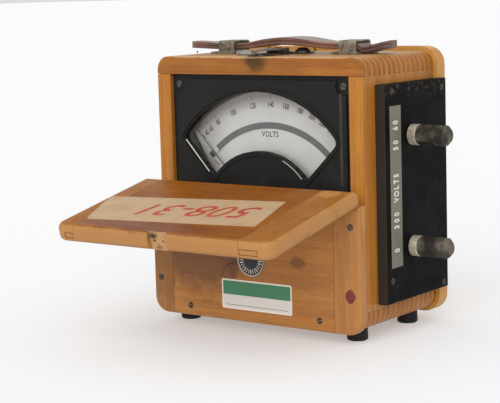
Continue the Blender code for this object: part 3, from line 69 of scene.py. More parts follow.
def makeCamera():
    data = bpy.data.cameras.new("camera")
    data.lens = camera["lens"]
    data.sensor_width = 36
    data.shift_x = camera["shiftX"]
    data.shift_y = camera["shiftY"]
    data.clip_start = 0.05
    data.clip_end = 60
    obj = linkNew("camera", data)
    yaw, pitch, roll = (math.radians(camera[key]) for key in ("yaw", "pitch", "roll"))
    forward = Vector((-math.sin(yaw) * math.cos(pitch), math.cos(yaw) * math.cos(pitch), -math.sin(pitch)))
    right = Vector((math.cos(yaw), math.sin(yaw), 0))
    up = right.cross(forward)
    tiltedRight = right * math.cos(roll) + up * math.sin(roll)
    tiltedUp = -right * math.sin(roll) + up * math.cos(roll)
    turn = Matrix((tiltedRight, tiltedUp, -forward)).transposed()
    obj.matrix_world = Matrix.Translation(place(*camera["position"])) @ turn.to_4x4()
    bpy.context.scene.camera = obj


makeCamera()

# Studio: pale floor, soft dome, one very wide soft sun near the camera
studio = {
    "dome": 0.72,
    "sun": 1.75,
    "sunSpread": 62.0,
    "sunSide": 25.0,   # degrees to the right of the front
    "sunHeight": 32.0,
    "floorTone": (0.62, 0.62, 0.62),
    "floorGlow": 0.33,   # a lit table, as in a photographer's tent
}


def makeStudio():
    scene = bpy.context.scene
    scene.view_settings.view_transform = "Standard"
    world = bpy.data.worlds.new("studio")
    world.use_nodes = True
    sky = world.node_tree.nodes["Background"]
    sky.inputs["Color"].default_value = (1, 1, 1, 1)
    sky.inputs["Strength"].default_value = studio["dome"]
    scene.world = world
    lamp = bpy.data.lights.new("softSun", "SUN")
    lamp.energy = studio["sun"]
    lamp.angle = math.radians(studio["sunSpread"])
    obj = linkNew("softSun", lamp)
    side, height = math.radians(studio["sunSide"]), math.radians(studio["sunHeight"])
    toSun = Vector((math.sin(side) * math.cos(height), -math.cos(side) * math.cos(height), math.sin(height)))
    obj.matrix_world = Matrix.Translation(toSun) @ toSun.to_track_quat("Z", "Y").to_matrix().to_4x4()
    bm = bmesh.new()
    bmesh.ops.create_grid(bm, x_segments=8, y_segments=8, size=30)
    mesh = bpy.data.meshes.new("floor")
    bm.to_mesh(mesh)
    bm.free()
    paint = bpy.data.materials.new("paleFloor")
    paint.use_nodes = True
    shader = paint.node_tree.nodes["Principled BSDF"]
    shader.inputs["Base Color"].default_value = (*studio["floorTone"], 1)
    shader.inputs["Roughness"].default_value = 0.9
    shader.inputs["Specular IOR Level"].default_value = 0.1
    shader.inputs["Emission Color"].default_value = (1, 1, 1, 1)
    shader.inputs["Emission Strength"].default_value = studio["floorGlow"]
    mesh.materials.append(paint)
    floor = linkNew("floor", mesh)


makeStudio()
print("camera and studio ready")


# Node helpers

def join(tree, source, target):
    tree.links.new(source, target)


def addNode(tree, kind, **values):
    node = tree.nodes.new("ShaderNode" + kind)
    for name, value in values.items():
        if name in node.inputs:
            node.inputs[name].default_value = value
        else:
            setattr(node, name, value)
    return node


def maths(tree, operation, first, second=None, clamp=False):
    node = addNode(tree, "Math", operation=operation, use_clamp=clamp)
    for index, value in enumerate((first, second)):
        if isinstance(value, (int, float)):
            node.inputs[index].default_value = value
        elif value is not None:
            join(tree, value, node.inputs[index])
    return node.outputs[0]


def times(tree, first, second, clamp=False):
    return maths(tree, "MULTIPLY", first, second, clamp)


def plus(tree, first, second, clamp=False):
    return maths(tree, "ADD", first, second, clamp)


# VectorMath with one wired vector and one fixed one
def vectorMaths(tree, operation, vector, fixed=None):
    node = addNode(tree, "VectorMath", operation=operation)
    join(tree, vector, node.inputs[0])
    if fixed is not None:
        node.inputs[1].default_value = fixed
    return node.outputs["Value" if operation == "LENGTH" else "Vector"]


def splitAxes(tree, vector):
    parts = tree.nodes.new("ShaderNodeSeparateXYZ")
    join(tree, vector, parts.inputs["Vector"])
    return parts.outputs


def mixColour(tree, factor, first, second, blend="MIX"):
    node = addNode(tree, "Mix", data_type="RGBA", blend_type=blend)
    for index, value in ((0, factor), (6, first), (7, second)):
        if isinstance(value, (int, float)):
            node.inputs[index].default_value = value
        elif isinstance(value, tuple):
            node.inputs[index].default_value = (*value, 1)
        else:
            join(tree, value, node.inputs[index])
    return node.outputs[2]


def ramp(tree, value, low, high, start=0.0, end=1.0):
    node = addNode(tree, "MapRange", interpolation_type="SMOOTHSTEP")
    for label, number in (("From Min", low), ("From Max", high), ("To Min", start), ("To Max", end)):
        node.inputs[label].default_value = number
    join(tree, value, node.inputs["Value"])
    return node.outputs["Result"]


# A mapping or texture node on a vector
def pattern(tree, kind, vector, **values):
    node = addNode(tree, kind, **values)
    join(tree, vector, node.inputs["Vector"])
    return node.outputs


def cloudy(tree, vector, scale, detail=4, rough=0.55, distortion=0.0, stretch=(1, 1, 1)):
    mapped = pattern(tree, "Mapping", vector, Scale=stretch)["Vector"]
    return pattern(tree, "TexNoise", mapped, Scale=scale, Detail=detail, Roughness=rough,
                   Distortion=distortion)["Fac"]


# A soft, ragged spot: 1 at the middle, 0 at its rim; centre in the row frame, reach in metres along each axis
def spotMask(tree, vector, centre, reach, wobble):
    offset = vectorMaths(tree, "SUBTRACT", vector, centre)
    distance = vectorMaths(tree, "LENGTH", vectorMaths(tree, "DIVIDE", offset, reach))
    distance = plus(tree, distance, times(tree, maths(tree, "SUBTRACT", wobble, 0.5), 1.4))
    return ramp(tree, distance, 0.45, 1.0, 1.0, 0.0)


# A group on a vector, with colours and values coming in, and colour, roughness and height going out
def newGroup(name, **inputs):
    group = bpy.data.node_groups.new(name, "ShaderNodeTree")
    group.interface.new_socket("Vector", in_out="INPUT", socket_type="NodeSocketVector")
    for label, value in inputs.items():
        isColour = isinstance(value, tuple)
        kind = "NodeSocketColor" if isColour else "NodeSocketFloat"
        socket = group.interface.new_socket(label, in_out="INPUT", socket_type=kind)
        socket.default_value = (*value, 1) if isColour else value
    for label, kind in (("Color", "Color"), ("Rough", "Float"), ("Height", "Float")):
        group.interface.new_socket(label, in_out="OUTPUT", socket_type="NodeSocket" + kind)
    start = group.nodes.new("NodeGroupInput")
    end = group.nodes.new("NodeGroupOutput")
    return group, start.outputs, end.inputs


# Grain that runs along X of the vector that comes in
def makeGrainGroup():
    group, start, end = newGroup("woodGrain", Light=(0.5, 0.25, 0.08), Dark=(0.25, 0.1, 0.03), Contrast=1.0,
                                 End=0.0)
    vector = start["Vector"]
    fine = cloudy(group, vector, 1, 5, 0.6, 0.2, (14, 900, 900))
    medium = cloudy(group, vector, 1, 4, 0.6, 0.5, (7, 190, 190))
    broad = cloudy(group, vector, 1, 3, 0.5, 0.8, (6, 40, 40))
    pores = cloudy(group, vector, 1, 2, 0.5, stretch=(70, 2400, 2400))
    blotch = cloudy(group, vector, 34, 4, 0.6)
    tone = plus(group, times(group, fine, 0.30), times(group, medium, 0.38))
    tone = plus(group, tone, times(group, broad, 0.32))
    tone = times(group, maths(group, "SUBTRACT", tone, 0.5), start["Contrast"])
    tone = plus(group, times(group, tone, 3.0), 0.45, clamp=True)
    colour = mixColour(group, tone, start["Light"], start["Dark"])
    holes = ramp(group, pores, 0.60, 0.72, 0.0, 0.5)
    colour = mixColour(group, holes, colour, start["Dark"], "MULTIPLY")
    # End grain soaks up the varnish: darker, with small rings instead of streaks
    rings = cloudy(group, vector, 420, 4, 0.7, stretch=(0.3, 1, 1))
    endTone = mixColour(group, ramp(group, rings, 0.3, 0.75, 0.25, 0.85), start["Light"], start["Dark"])
    colour = mixColour(group, start["End"], colour, endTone)
    colour = mixColour(group, ramp(group, blotch, 0.35, 0.75, 0.0, 0.28), colour, start["Dark"])
    join(group, colour, end["Color"])
    join(group, ramp(group, blotch, 0.3, 0.7, 0.30, 0.48), end["Rough"])
    join(group, maths(group, "SUBTRACT", fine, times(group, holes, 0.8)), end["Height"])
    return group


# Dust, fingermarks and small pale specks over a dark surface
def makeGrimeGroup():
    group, start, end = newGroup("grime", Base=(0.02, 0.02, 0.02), Dust=(0.12, 0.11, 0.1), Amount=0.3,
                                 Specks=0.5)
    vector = start["Vector"]
    cloud = cloudy(group, vector, 45, 6, 0.65, 0.8)
    smear = cloudy(group, vector, 22, 4, 0.6, 1.4, (1, 1, 3))
    speck = cloudy(group, vector, 900, 2, 0.5)
    grit = cloudy(group, vector, 2600, 2, 0.5)
    dust = times(group, ramp(group, cloud, 0.42, 0.75), ramp(group, smear, 0.3, 0.7, 0.4, 1.0))
    dust = times(group, dust, start["Amount"], clamp=True)
    colour = mixColour(group, dust, start["Base"], start["Dust"])
    dots = times(group, ramp(group, speck, 0.69, 0.76), start["Specks"])
    join(group, mixColour(group, dots, colour, start["Dust"]), end["Color"])
    join(group, ramp(group, cloud, 0.3, 0.75, 0.42, 0.72), end["Rough"])
    join(group, plus(group, grit, times(group, cloud, 0.6)), end["Height"])
    return group


# Worn or tarnished metal: two tones, scratches and stains
def makeTarnishGroup():
    group, start, end = newGroup("tarnish", Bright=(0.5, 0.48, 0.4), Dull=(0.12, 0.11, 0.08), Wear=0.5)
    vector = start["Vector"]
    cloud = cloudy(group, vector, 160, 6, 0.68, 0.5)
    scratch = cloudy(group, vector, 1, 2, 0.5, stretch=(260, 2600, 900))
    stain = cloudy(group, vector, 520, 3, 0.6)
    amount = plus(group, cloud, times(group, scratch, 0.25))
    amount = ramp(group, maths(group, "SUBTRACT", amount, start["Wear"]), -0.12, 0.3)
    colour = mixColour(group, amount, start["Bright"], start["Dull"])
    join(group, mixColour(group, ramp(group, stain, 0.6, 0.75, 0.0, 0.5), colour, start["Dull"]), end["Color"])
    join(group, ramp(group, amount, 0.0, 1.0, 0.28, 0.62), end["Rough"])
    join(group, plus(group, scratch, stain), end["Height"])
    return group


grainGroup = makeGrainGroup()
grimeGroup = makeGrimeGroup()
tarnishGroup = makeTarnishGroup()


# Material makers

# Gives the node tree, its shader and the Object coordinates that patterns read
def startMaterial(name, **sockets):
    material = bpy.data.materials.new(name)
    material.use_nodes = True
    tree = material.node_tree
    shader = tree.nodes["Principled BSDF"]
    for label, value in sockets.items():
        shader.inputs[label.replace("_", " ")].default_value = value
    coords = tree.nodes.new("ShaderNodeTexCoord")
    coords.name = "coords"
    return tree, shader, coords.outputs["Object"]


# Which way a face looks: for end grain, and for painted light on the faces that look one way
def facing(tree):
    return splitAxes(tree, tree.nodes["coords"].outputs["Normal"])


def addGroup(tree, group, vector, **values):
    node = tree.nodes.new("ShaderNodeGroup")
    node.node_tree = group
    join(tree, vector, node.inputs["Vector"])
    for label, value in values.items():
        if isinstance(value, tuple):
            node.inputs[label].default_value = (*value, 1)
        elif isinstance(value, (int, float)):
            node.inputs[label].default_value = value
        else:
            join(tree, value, node.inputs[label])
    return node.outputs


# Wires the colour and roughness into the shader, and a height with its bump's strength and depth
def finishSurface(tree, shader, colour, rough, height=None, strength=0.25, depth=0.0001):
    join(tree, colour, shader.inputs["Base Color"])
    join(tree, rough, shader.inputs["Roughness"])
    if height is not None:
        bump = addNode(tree, "Bump", Strength=strength, Distance=depth)
        join(tree, height, bump.inputs["Height"])
        join(tree, bump.outputs["Normal"], shader.inputs["Normal"])


# The lid as it hangs open: its pin's line, and the distances of its faces from it
lid = {"open": 102.0, "axisY": -12.0, "axisZ": 89.3, "inner": 11.7, "low": 0.3, "top": 103.9}
lidAngle = math.radians(lid["open"])
lidAlong = Vector((0, -math.sin(lidAngle), math.cos(lidAngle)))   # from the hinge to the free edge
lidOut = Vector((0, math.cos(lidAngle), math.sin(lidAngle)))   # out of the inner face


def lidSpot(x, down, out):
    return place(*(Vector((x, lid["axisY"], lid["axisZ"])) + lidAlong * down + lidOut * out))


def lidTop(x, down):
    return lidSpot(x, down, lid["inner"])


def lidEdge(x, deep):
    return lidSpot(x, lid["top"], lid["inner"] - deep)


# light, dark: the grain's two tones; turn: brings the grain's direction to X; end: the axis that shows
# end grain and how strongly; edge, top: painted highlight, paler tones on the faces that look forward and up;
# stains, painted shade and painted highlight: place, reach in mm, colour, strength
woods = {
    "topRail": {
        "light": (0.41, 0.155, 0.027), "dark": (0.215, 0.066, 0.009), "turn": (0, 0, 0),
        "end": ("X", 0.45), "top": (0.58, 0.33, 0.13),
        # a darker patch on the rail below the catch, and a pale line along the top front edge: wear with a
        # painted highlight
        "stainsAndPaintedLight": ((place(92, 0, 190), (11, 16, 17), (0.085, 0.042, 0.010), 0.9),
                   (place(91, 0.4, 190.4), (150, 3.4, 2.0), (0.60, 0.38, 0.19), 0.8))},
    "sideBoard": {
        "light": (0.54, 0.222, 0.035), "dark": (0.29, 0.100, 0.0135), "turn": (0, 90, 0),
        "end": ("Z", 0.7), "top": (0.58, 0.33, 0.13)},
    "backBoard": {
        "light": (0.60, 0.32, 0.082), "dark": (0.42, 0.19, 0.038), "turn": (0, 90, 0),
        "top": (0.70, 0.45, 0.19)},
    "lowerBoard": {
        "light": (0.55, 0.245, 0.062), "dark": (0.30, 0.113, 0.027), "turn": (0, 0, 0),
        # the first is painted shadow of the open lid over the board's left part
        "stainsAndPaintedLight": ((place(45, -11, 45), (52, 8, 36), (0.13, 0.058, 0.027), 0.7),
                   (place(75, -11, 38), (9, 4, 10), (0.10, 0.035, 0.02), 0.6),
                   (place(131.9, -11, 46.2), (9, 4, 5), (0.10, 0.04, 0.022), 0.6))},
    "lowerClamp": {
        "light": (0.51, 0.235, 0.068), "dark": (0.29, 0.12, 0.032), "turn": (0, 90, 0),
        # painted shade over the left clamp
        "stainsAndPaintedLight": ((place(8, -11, 40), (22, 12, 60), (0.19, 0.08, 0.028), 0.55),)},
    "lidBoard": {
        "light": (0.385, 0.128, 0.013), "dark": (0.195, 0.056, 0.005), "turn": (0, 0, 0),
        "coat": 0.02, "shine": 0.1, "edge": (0.46, 0.235, 0.088),
        "stainsAndPaintedLight": ((lidTop(75, 92), (75, 14, 8), (0.15, 0.05, 0.028), 0.6),
                   (lidTop(120, 60), (22, 22, 8), (0.42, 0.15, 0.03), 0.5))},
    "lidClamp": {
        "light": (0.45, 0.175, 0.030), "dark": (0.25, 0.090, 0.013), "turn": (0, 0, 90),
        "coat": 0.02, "shine": 0.1, "edge": (0.46, 0.24, 0.09),
        "stainsAndPaintedLight": ((lidTop(168, 8), (14, 12, 8), (0.60, 0.30, 0.10), 0.6),)},
    "plainBlock": {"light": (0.55, 0.33, 0.15), "dark": (0.38, 0.2, 0.08), "turn": (0, 0, 0)},
}


def makeWood(name):
    look = woods[name]
    tree, shader, here = startMaterial(name, Coat_Weight=look.get("coat", 0.06), Coat_Roughness=0.25,
                                       Specular_IOR_Level=look.get("shine", 0.22))
    along = pattern(tree, "Mapping", here, Rotation=[math.radians(angle) for angle in look["turn"]],
                    Location=(0.13 * len(name), 0.07 * len(name), 0))["Vector"]
    faces = facing(tree)
    values = {"Light": look["light"], "Dark": look["dark"]}
    if "end" in look:
        axis, share = look["end"]
        values["End"] = ramp(tree, maths(tree, "ABSOLUTE", faces[axis]), 0.25, 0.75, 0.0, share)
    out = addGroup(tree, grainGroup, along, **values)
    colour = out["Color"]
    wobble = cloudy(tree, here, 70, detail=5, rough=0.65)
    # edge: painted highlight, a paler tone on the faces that look forward and to the sides
    if "edge" in look:
        outward = plus(tree, times(tree, faces["Y"], -1.0), times(tree, maths(tree, "ABSOLUTE", faces["X"]), 0.8))
        wearAndLitFaces = plus(tree, outward, times(tree, maths(tree, "SUBTRACT", wobble, 0.5), 0.8))
        pale = mixColour(tree, 0.75, colour, look["edge"])
        colour = mixColour(tree, ramp(tree, wearAndLitFaces, 0.35, 0.85), colour, pale)
    # top: painted light, a paler tone on the faces that look up
    if "top" in look:
        lit = ramp(tree, plus(tree, faces["Z"], times(tree, wobble, 0.3)), 0.85, 1.15)
        colour = mixColour(tree, times(tree, lit, 0.6), colour, look["top"])
    # real stains, and the painted shadow, shade and highlight listed with them
    for centre, reach, tint, strength in look.get("stainsAndPaintedLight", ()):
        mask = spotMask(tree, here, centre, [length * mm for length in reach], wobble)
        colour = mixColour(tree, times(tree, mask, strength), colour, tint)
    finishSurface(tree, shader, colour, out["Rough"], out["Height"], depth=0.0003)


def makeMetal(name, bright, dull, wear, metallic):
    tree, shader, here = startMaterial(name, Metallic=metallic)
    out = addGroup(tree, tarnishGroup, here, Bright=bright, Dull=dull, Wear=wear)
    finishSurface(tree, shader, out["Color"], out["Rough"], out["Height"], strength=0.3)


# The strike on the lid's edge: wood-coloured where it has worn, dark metal round the catch
def makeStrike():
    tree, shader, here = startMaterial("strikeMetal")
    wobble = cloudy(tree, here, 420)
    upper = spotMask(tree, here, lidEdge(86.6, 3.2), [6.4 * mm, 5 * mm, 4.4 * mm], wobble)
    lower = spotMask(tree, here, lidEdge(90.5, 10.0), [4.6 * mm, 5 * mm, 3.4 * mm], wobble)
    mask = maths(tree, "MAXIMUM", upper, times(tree, lower, 0.7))
    pale = mixColour(tree, wobble, (0.50, 0.27, 0.10), (0.38, 0.20, 0.08))
    join(tree, times(tree, mask, 0.6), shader.inputs["Metallic"])
    finishSurface(tree, shader, mixColour(tree, mask, pale, (0.06, 0.055, 0.045)),
                  ramp(tree, wobble, 0.3, 0.7, 0.35, 0.6), wobble, 0.3, 0.0002)


# Near black, with painted light making the faces that look forward paler, and dust along the top
def makeTerminalPanel():
    tree, shader, here = startMaterial("terminalBlack", Specular_IOR_Level=0.05)
    out = addGroup(tree, grimeGroup, here, Base=(0.0036, 0.0033, 0.0033), Dust=(0.034, 0.031, 0.026),
                   Amount=0.16, Specks=0.3)
    top = place(190, 50, 170.2).z
    near = ramp(tree, splitAxes(tree, here)["Z"], top - 0.016, top - 0.001)
    crumbs = ramp(tree, cloudy(tree, here, 330, detail=5, rough=0.75), 0.52, 0.66)
    colour = mixColour(tree, times(tree, near, crumbs), out["Color"], (0.075, 0.062, 0.048))
    # painted light: a paler tone on the faces that look forward
    front = ramp(tree, times(tree, facing(tree)["Y"], -1.0), 0.4, 0.9)
    colour = mixColour(tree, front, colour, (0.034, 0.026, 0.021))
    finishSurface(tree, shader, colour, out["Rough"], out["Height"])


def makeDark(name, base, dust, amount, specks, gloss=0.3):
    tree, shader, here = startMaterial(name, Specular_IOR_Level=gloss)
    out = addGroup(tree, grimeGroup, here, Base=base, Dust=dust, Amount=amount, Specks=specks)
    finishSurface(tree, shader, out["Color"], out["Rough"], out["Height"])


# name: (base, dust, how much dust, how many specks, gloss where it isn't the usual)
darks = {
    "panelBlack": ((0.0105, 0.010, 0.0095), (0.045, 0.042, 0.038), 0.35, 0.6, 0.18),
    "housingGrey": ((0.55, 0.53, 0.48), (0.66, 0.63, 0.57), 0.5, 0.2),
    "knobBrown": ((0.018, 0.015, 0.011), (0.30, 0.255, 0.19), 1.0, 0.9),
    "rubberBlack": ((0.008, 0.008, 0.008), (0.05, 0.048, 0.045), 0.4, 0.3, 0.2),
    "formerBrown": ((0.06, 0.028, 0.015), (0.12, 0.08, 0.05), 0.3, 0.2),
    "zeroScrewBlack": ((0.02, 0.019, 0.018), (0.09, 0.085, 0.08), 0.5, 0.4),
    "waxRed": ((0.17, 0.032, 0.022), (0.24, 0.08, 0.05), 0.5, 0.2),
    "badgeBlack": ((0.016, 0.020, 0.020), (0.09, 0.11, 0.10), 0.6, 0.4),
    "badgeWhite": ((0.62, 0.60, 0.55), (0.35, 0.32, 0.27), 0.6, 0.4),
    "labelCream": ((0.86, 0.81, 0.70), (0.62, 0.54, 0.42), 0.5, 0.3),
    "labelGreen": ((0.060, 0.22, 0.12), (0.12, 0.24, 0.16), 0.5, 0.4),
    "labelGrey": ((0.72, 0.70, 0.65), (0.56, 0.53, 0.46), 0.5, 0.4),
    "labelLine": ((0.12, 0.12, 0.11), (0.2, 0.19, 0.17), 0.5, 0.4),
    "tapeOlive": ((0.158, 0.149, 0.117), (0.26, 0.245, 0.20), 0.5, 0.2),
    "tapePale": ((0.72, 0.70, 0.63), (0.45, 0.44, 0.38), 0.6, 0.2),
    "paperTan": ((0.53, 0.36, 0.205), (0.38, 0.235, 0.12), 0.7, 0.3),
    "crayonRed": ((0.48, 0.045, 0.03), (0.60, 0.20, 0.12), 0.8, 0.6),
    "edgeGrey": ((0.040, 0.041, 0.031), (0.02, 0.02, 0.018), 0.7, 0.3, 0.18),
    # painted glint on the window lip's edges
    "lipPale": ((0.60, 0.60, 0.57), (0.28, 0.28, 0.26), 0.8, 0.5),
    "crackBrown": ((0.045, 0.02, 0.012), (0.08, 0.04, 0.02), 0.5, 0.2),
    "screwDark": ((0.030, 0.025, 0.020), (0.12, 0.10, 0.08), 0.7, 0.5),
    # painted reflection of the pointer in the dial's mirror
    "patchBlack": ((0.012, 0.012, 0.012), (0.05, 0.05, 0.05), 0.3, 0.2),
}

# name: (bright, dull, wear: more is brighter, metallic)
metals = {
    "keeperMetal": ((0.34, 0.29, 0.21), (0.075, 0.058, 0.04), 0.55, 0.55),
    "catchMetal": ((0.40, 0.38, 0.34), (0.06, 0.05, 0.042), 0.58, 0.8),
    "catchBaseMetal": ((0.22, 0.20, 0.16), (0.035, 0.03, 0.025), 0.5, 0.8),
    "collarMetal": ((0.62, 0.56, 0.45), (0.27, 0.22, 0.155), 0.5, 0.22),
    "brassMetal": ((0.65, 0.47, 0.19), (0.33, 0.21, 0.08), 0.75, 1.0),
    "ironMetal": ((0.36, 0.35, 0.34), (0.13, 0.12, 0.11), 0.6, 1.0),
    "aluminiumMetal": ((0.74, 0.74, 0.73), (0.48, 0.47, 0.45), 0.75, 1.0),
    "panelScrewMetal": ((0.095, 0.09, 0.08), (0.03, 0.028, 0.025), 0.55, 0.4),
}


# name: (metallic, wave scale, direction, groove, ridge, stain, its share, cloud scale, rough, bump, wobble)
coils = {
    "enamelledCopper": (0.7, 900, "Y", (0.16, 0.045, 0.015), (0.52, 0.19, 0.07), (0.2, 0.07, 0.03), 0.4, 200,
                        (0.3, 0.5), 0.6, 0.3),
    "woundCeramic": (0.0, 420, "Z", (0.20, 0.16, 0.11), (0.55, 0.49, 0.38), (0.34, 0.27, 0.18), 0.5, 140,
                     (0.45, 0.7), 0.5, 0.4),
}


def makeCoil(name, metallic, scale, direction, groove, ridge, stain, share, cloudScale, rough, bump, wobble):
    tree, shader, here = startMaterial(name, Metallic=metallic)
    wave = pattern(tree, "TexWave", here, Scale=scale, Distortion=wobble, bands_direction=direction)["Fac"]
    cloud = cloudy(tree, here, cloudScale)
    colour = mixColour(tree, wave, groove, ridge)
    colour = mixColour(tree, ramp(tree, cloud, 0.4, 0.7, 0, share), colour, stain)
    finishSurface(tree, shader, colour, ramp(tree, cloud, 0.3, 0.7, *rough), wave, bump, 0.0002)


def makeSleeve():
    tree, shader, here = startMaterial("cottonSleeve", Sheen_Weight=0.3)
    weave = pattern(tree, "TexVoronoi", here, Scale=1500)["Distance"]
    colour = mixColour(tree, ramp(tree, weave, 0.1, 0.7), (0.42, 0.07, 0.05), (0.16, 0.02, 0.018))
    finishSurface(tree, shader, colour, ramp(tree, weave, 0.0, 0.8, 0.75, 0.95), weave, 0.5, 0.0002)


def makeGlass():
    tree, shader, here = startMaterial("windowGlass", Transmission_Weight=1.0, IOR=1.45)
    film = cloudy(tree, here, 60)
    colour = mixColour(tree, ramp(tree, film, 0.4, 0.8, 0.0, 0.3), (1, 1, 1), (0.95, 0.96, 0.94))
    finishSurface(tree, shader, colour, ramp(tree, film, 0.4, 0.7, 0.0, 0.06))


dialCard = {
    "white": (0.92, 0.92, 0.87),
    "shade": (0.36, 0.32, 0.27),
    "staff": (91, 17.5, 66),
    "outerStart": 0.0860,   # radius from the staff where the painted brown shadow begins
    "outerEnd": 0.0985,
    "leftShade": (-0.062, -0.034),
}


# White card with painted shadow towards its outer arc and painted shade towards its left end, and aged blotches
def makeDialWhite():
    tree, shader, here = startMaterial("dialWhite", Specular_IOR_Level=0.3)
    offset = vectorMaths(tree, "SUBTRACT", here, place(*dialCard["staff"]))
    radius = vectorMaths(tree, "LENGTH", vectorMaths(tree, "MULTIPLY", offset, (1, 0, 1)))
    cloud = cloudy(tree, here, 60, detail=5)
    reach = plus(tree, radius, times(tree, cloud, 0.004))
    # painted shadow towards the outer arc and painted shade towards the left end
    shade = ramp(tree, reach, dialCard["outerStart"], dialCard["outerEnd"], 0.0, 0.75)
    left = ramp(tree, splitAxes(tree, offset)["X"], *dialCard["leftShade"], 0.45, 0.0)
    shade = maths(tree, "MAXIMUM", shade, left)
    colour = mixColour(tree, shade, dialCard["white"], dialCard["shade"])
    colour = mixColour(tree, ramp(tree, cloud, 0.45, 0.8, 0.0, 0.12), colour, (0.6, 0.56, 0.46))
    finishSurface(tree, shader, colour, ramp(tree, cloud, 0.3, 0.7, 0.5, 0.65))


# Two tones that fade into each other: ink, paint and the dial's mirror
# name: (first, second, share of the second, scale)
twoTones = {
    "mirrorArc": ((0.125, 0.128, 0.126), (0.145, 0.146, 0.142), 1.0, 120, (0.35, 0.5)),   # roughness too
    "pointerBlack": ((0.16, 0.15, 0.13), (0.25, 0.235, 0.2), 0.6, 900),
    "dialInk": ((0.05, 0.048, 0.045), (0.2, 0.19, 0.17), 0.5, 900),
    "dialRed": ((0.45, 0.10, 0.09), (0.55, 0.3, 0.27), 0.5, 900),
    "paleEnd": ((0.8, 0.79, 0.75), (0.6, 0.58, 0.5), 0.5, 300),
}


def makeTwoTone(name, first, second, share, scale, rough=(0.5, 0.75)):
    tree, shader, here = startMaterial(name)
    wearAndLitFaces = cloudy(tree, here, scale, detail=3)
    colour = mixColour(tree, ramp(tree, wearAndLitFaces, 0.35, 0.75, 0.0, share), first, second)
    finishSurface(tree, shader, colour, ramp(tree, wearAndLitFaces, 0.3, 0.7, *rough))


def makeLeather():
    tree, shader, here = startMaterial("brownLeather", Sheen_Weight=0.1, Coat_Weight=0.45, Coat_Roughness=0.3)
    grain = pattern(tree, "TexVoronoi", here, Scale=900, feature="DISTANCE_TO_EDGE")["Distance"]
    wear = cloudy(tree, here, 75, 6, 0.65, 0.6, (0.5, 1, 1))
    # painted sheen: a paler tone on the faces that look up
    upper = ramp(tree, facing(tree)["Z"], 0.7, 0.99)
    colour = mixColour(tree, ramp(tree, wear, 0.38, 0.66), (0.075, 0.026, 0.013), (0.20, 0.070, 0.033))
    colour = mixColour(tree, times(tree, upper, 0.55), colour, (0.30, 0.165, 0.105))
    lines = ramp(tree, grain, 0.0, 0.12, 0.5, 0.0)
    colour = mixColour(tree, lines, colour, (0.035, 0.018, 0.014))
    height = plus(tree, ramp(tree, grain, 0.0, 0.2), wear)
    finishSurface(tree, shader, colour, ramp(tree, wear, 0.3, 0.7, 0.38, 0.62), height, 0.35, 0.0002)


nodeMaterials = {
    "topRail": ("top_board", "bottom_board"),
    "sideBoard": ("left_side_board", "right_side_board"),
    "backBoard": ("back_board",),
    "lowerBoard": ("lower_front_board",),
    "lowerClamp": ("lower_left_clamp", "lower_right_clamp"),
    "lidBoard": ("lid_board",),
    "lidClamp": ("lid_left_clamp", "lid_right_clamp"),
    "plainBlock": ("upper_left_panel_block", "upper_right_panel_block", "lower_panel_rail"),
    "panelBlack": ("meter_panel",),
    "housingGrey": ("meter_housing",),
    "terminalBlack": ("terminal_panel",),
    "knobBrown": ("upper_terminal_knob", "lower_terminal_knob"),
    "collarMetal": ("upper_terminal_collar", "lower_terminal_collar"),
    "formerBrown": ("coil_former",),
    "zeroScrewBlack": ("zero_screw",),
    "brassMetal": ("front_jewel_screw", "rear_jewel_screw", "hairspring", "zero_lever",
                   "upper_terminal_stud", "lower_terminal_stud"),
    "ironMetal": ("pointer_staff", "moving_iron", "fixed_iron"),
    "aluminiumMetal": ("movement_frame", "damping_chamber", "damping_vane"),
    "keeperMetal": ("left_strap_keeper", "right_strap_keeper"),
    "strikeMetal": ("lid_strike_plate",),
    "catchMetal": ("catch_tongue",),
    "catchBaseMetal": ("catch_base", "left_hinge_case_leaf", "left_hinge_lid_leaf",
                       "right_hinge_case_leaf", "right_hinge_lid_leaf"),
    "rubberBlack": ("front_left_foot", "front_right_foot", "rear_left_foot", "rear_right_foot"),
    "enamelledCopper": ("coil_winding",),
    "woundCeramic": ("left_resistor", "right_resistor"),
    "cottonSleeve": ("upper_lead", "lower_lead", "coil_lead"),
    "windowGlass": ("window_glass",),
    "dialWhite": ("dial_plate",),
    "mirrorArc": ("dial_mirror",),
    "pointerBlack": ("pointer",),
    "brownLeather": ("carrying_strap",),
}
for maker, looks in ((makeDark, darks), (makeMetal, metals), (makeCoil, coils), (makeTwoTone, twoTones)):
    for name, values in looks.items():
        maker(name, *values)
for name in woods:
    makeWood(name)
for maker in (makeSleeve, makeGlass, makeDialWhite, makeStrike, makeTerminalPanel, makeLeather):
    maker()
for finish, names in nodeMaterials.items():
    for name in names:
        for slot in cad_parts[name].material_slots:
            slot.material = bpy.data.materials[finish]
print("nodes dressed:", sum(len(names) for names in nodeMaterials.values()))


# Helpers for new pieces

def newPiece(name, bm, finish, body="case", sharp=35):
    bmesh.ops.recalc_face_normals(bm, faces=bm.faces)
    mesh = bpy.data.meshes.new(name)
    bm.to_mesh(mesh)
    bm.free()
    mesh.materials.append(bpy.data.materials[finish])
    mesh.shade_smooth()
    mesh.set_sharp_from_angle(angle=math.radians(sharp))
    obj = linkNew(name, mesh)
    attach(obj, body)
    return obj


def spun(matrix, degrees):
    return matrix @ Matrix.Rotation(math.radians(degrees), 4, "Z")


# A frame on a surface: X to the right, Y up, Z out of the surface
def surfaceFrame(origin, right, up):
    right = Vector(right).normalized()
    up = Vector(up).normalized()
    return Matrix.Translation(origin) @ Matrix((right, up, right.cross(up))).transposed().to_4x4()


def onFront(x, z, y=-11.0):
    return surfaceFrame(place(x, y, z), (1, 0, 0), (0, 0, 1))


# In the screw pockets of the meter panel
def onPanel(x, z):
    return onFront(x, z, 3.5)


def onSide(y, z):
    return surfaceFrame(place(190.1, y, z), (0, 1, 0), (0, 0, 1))


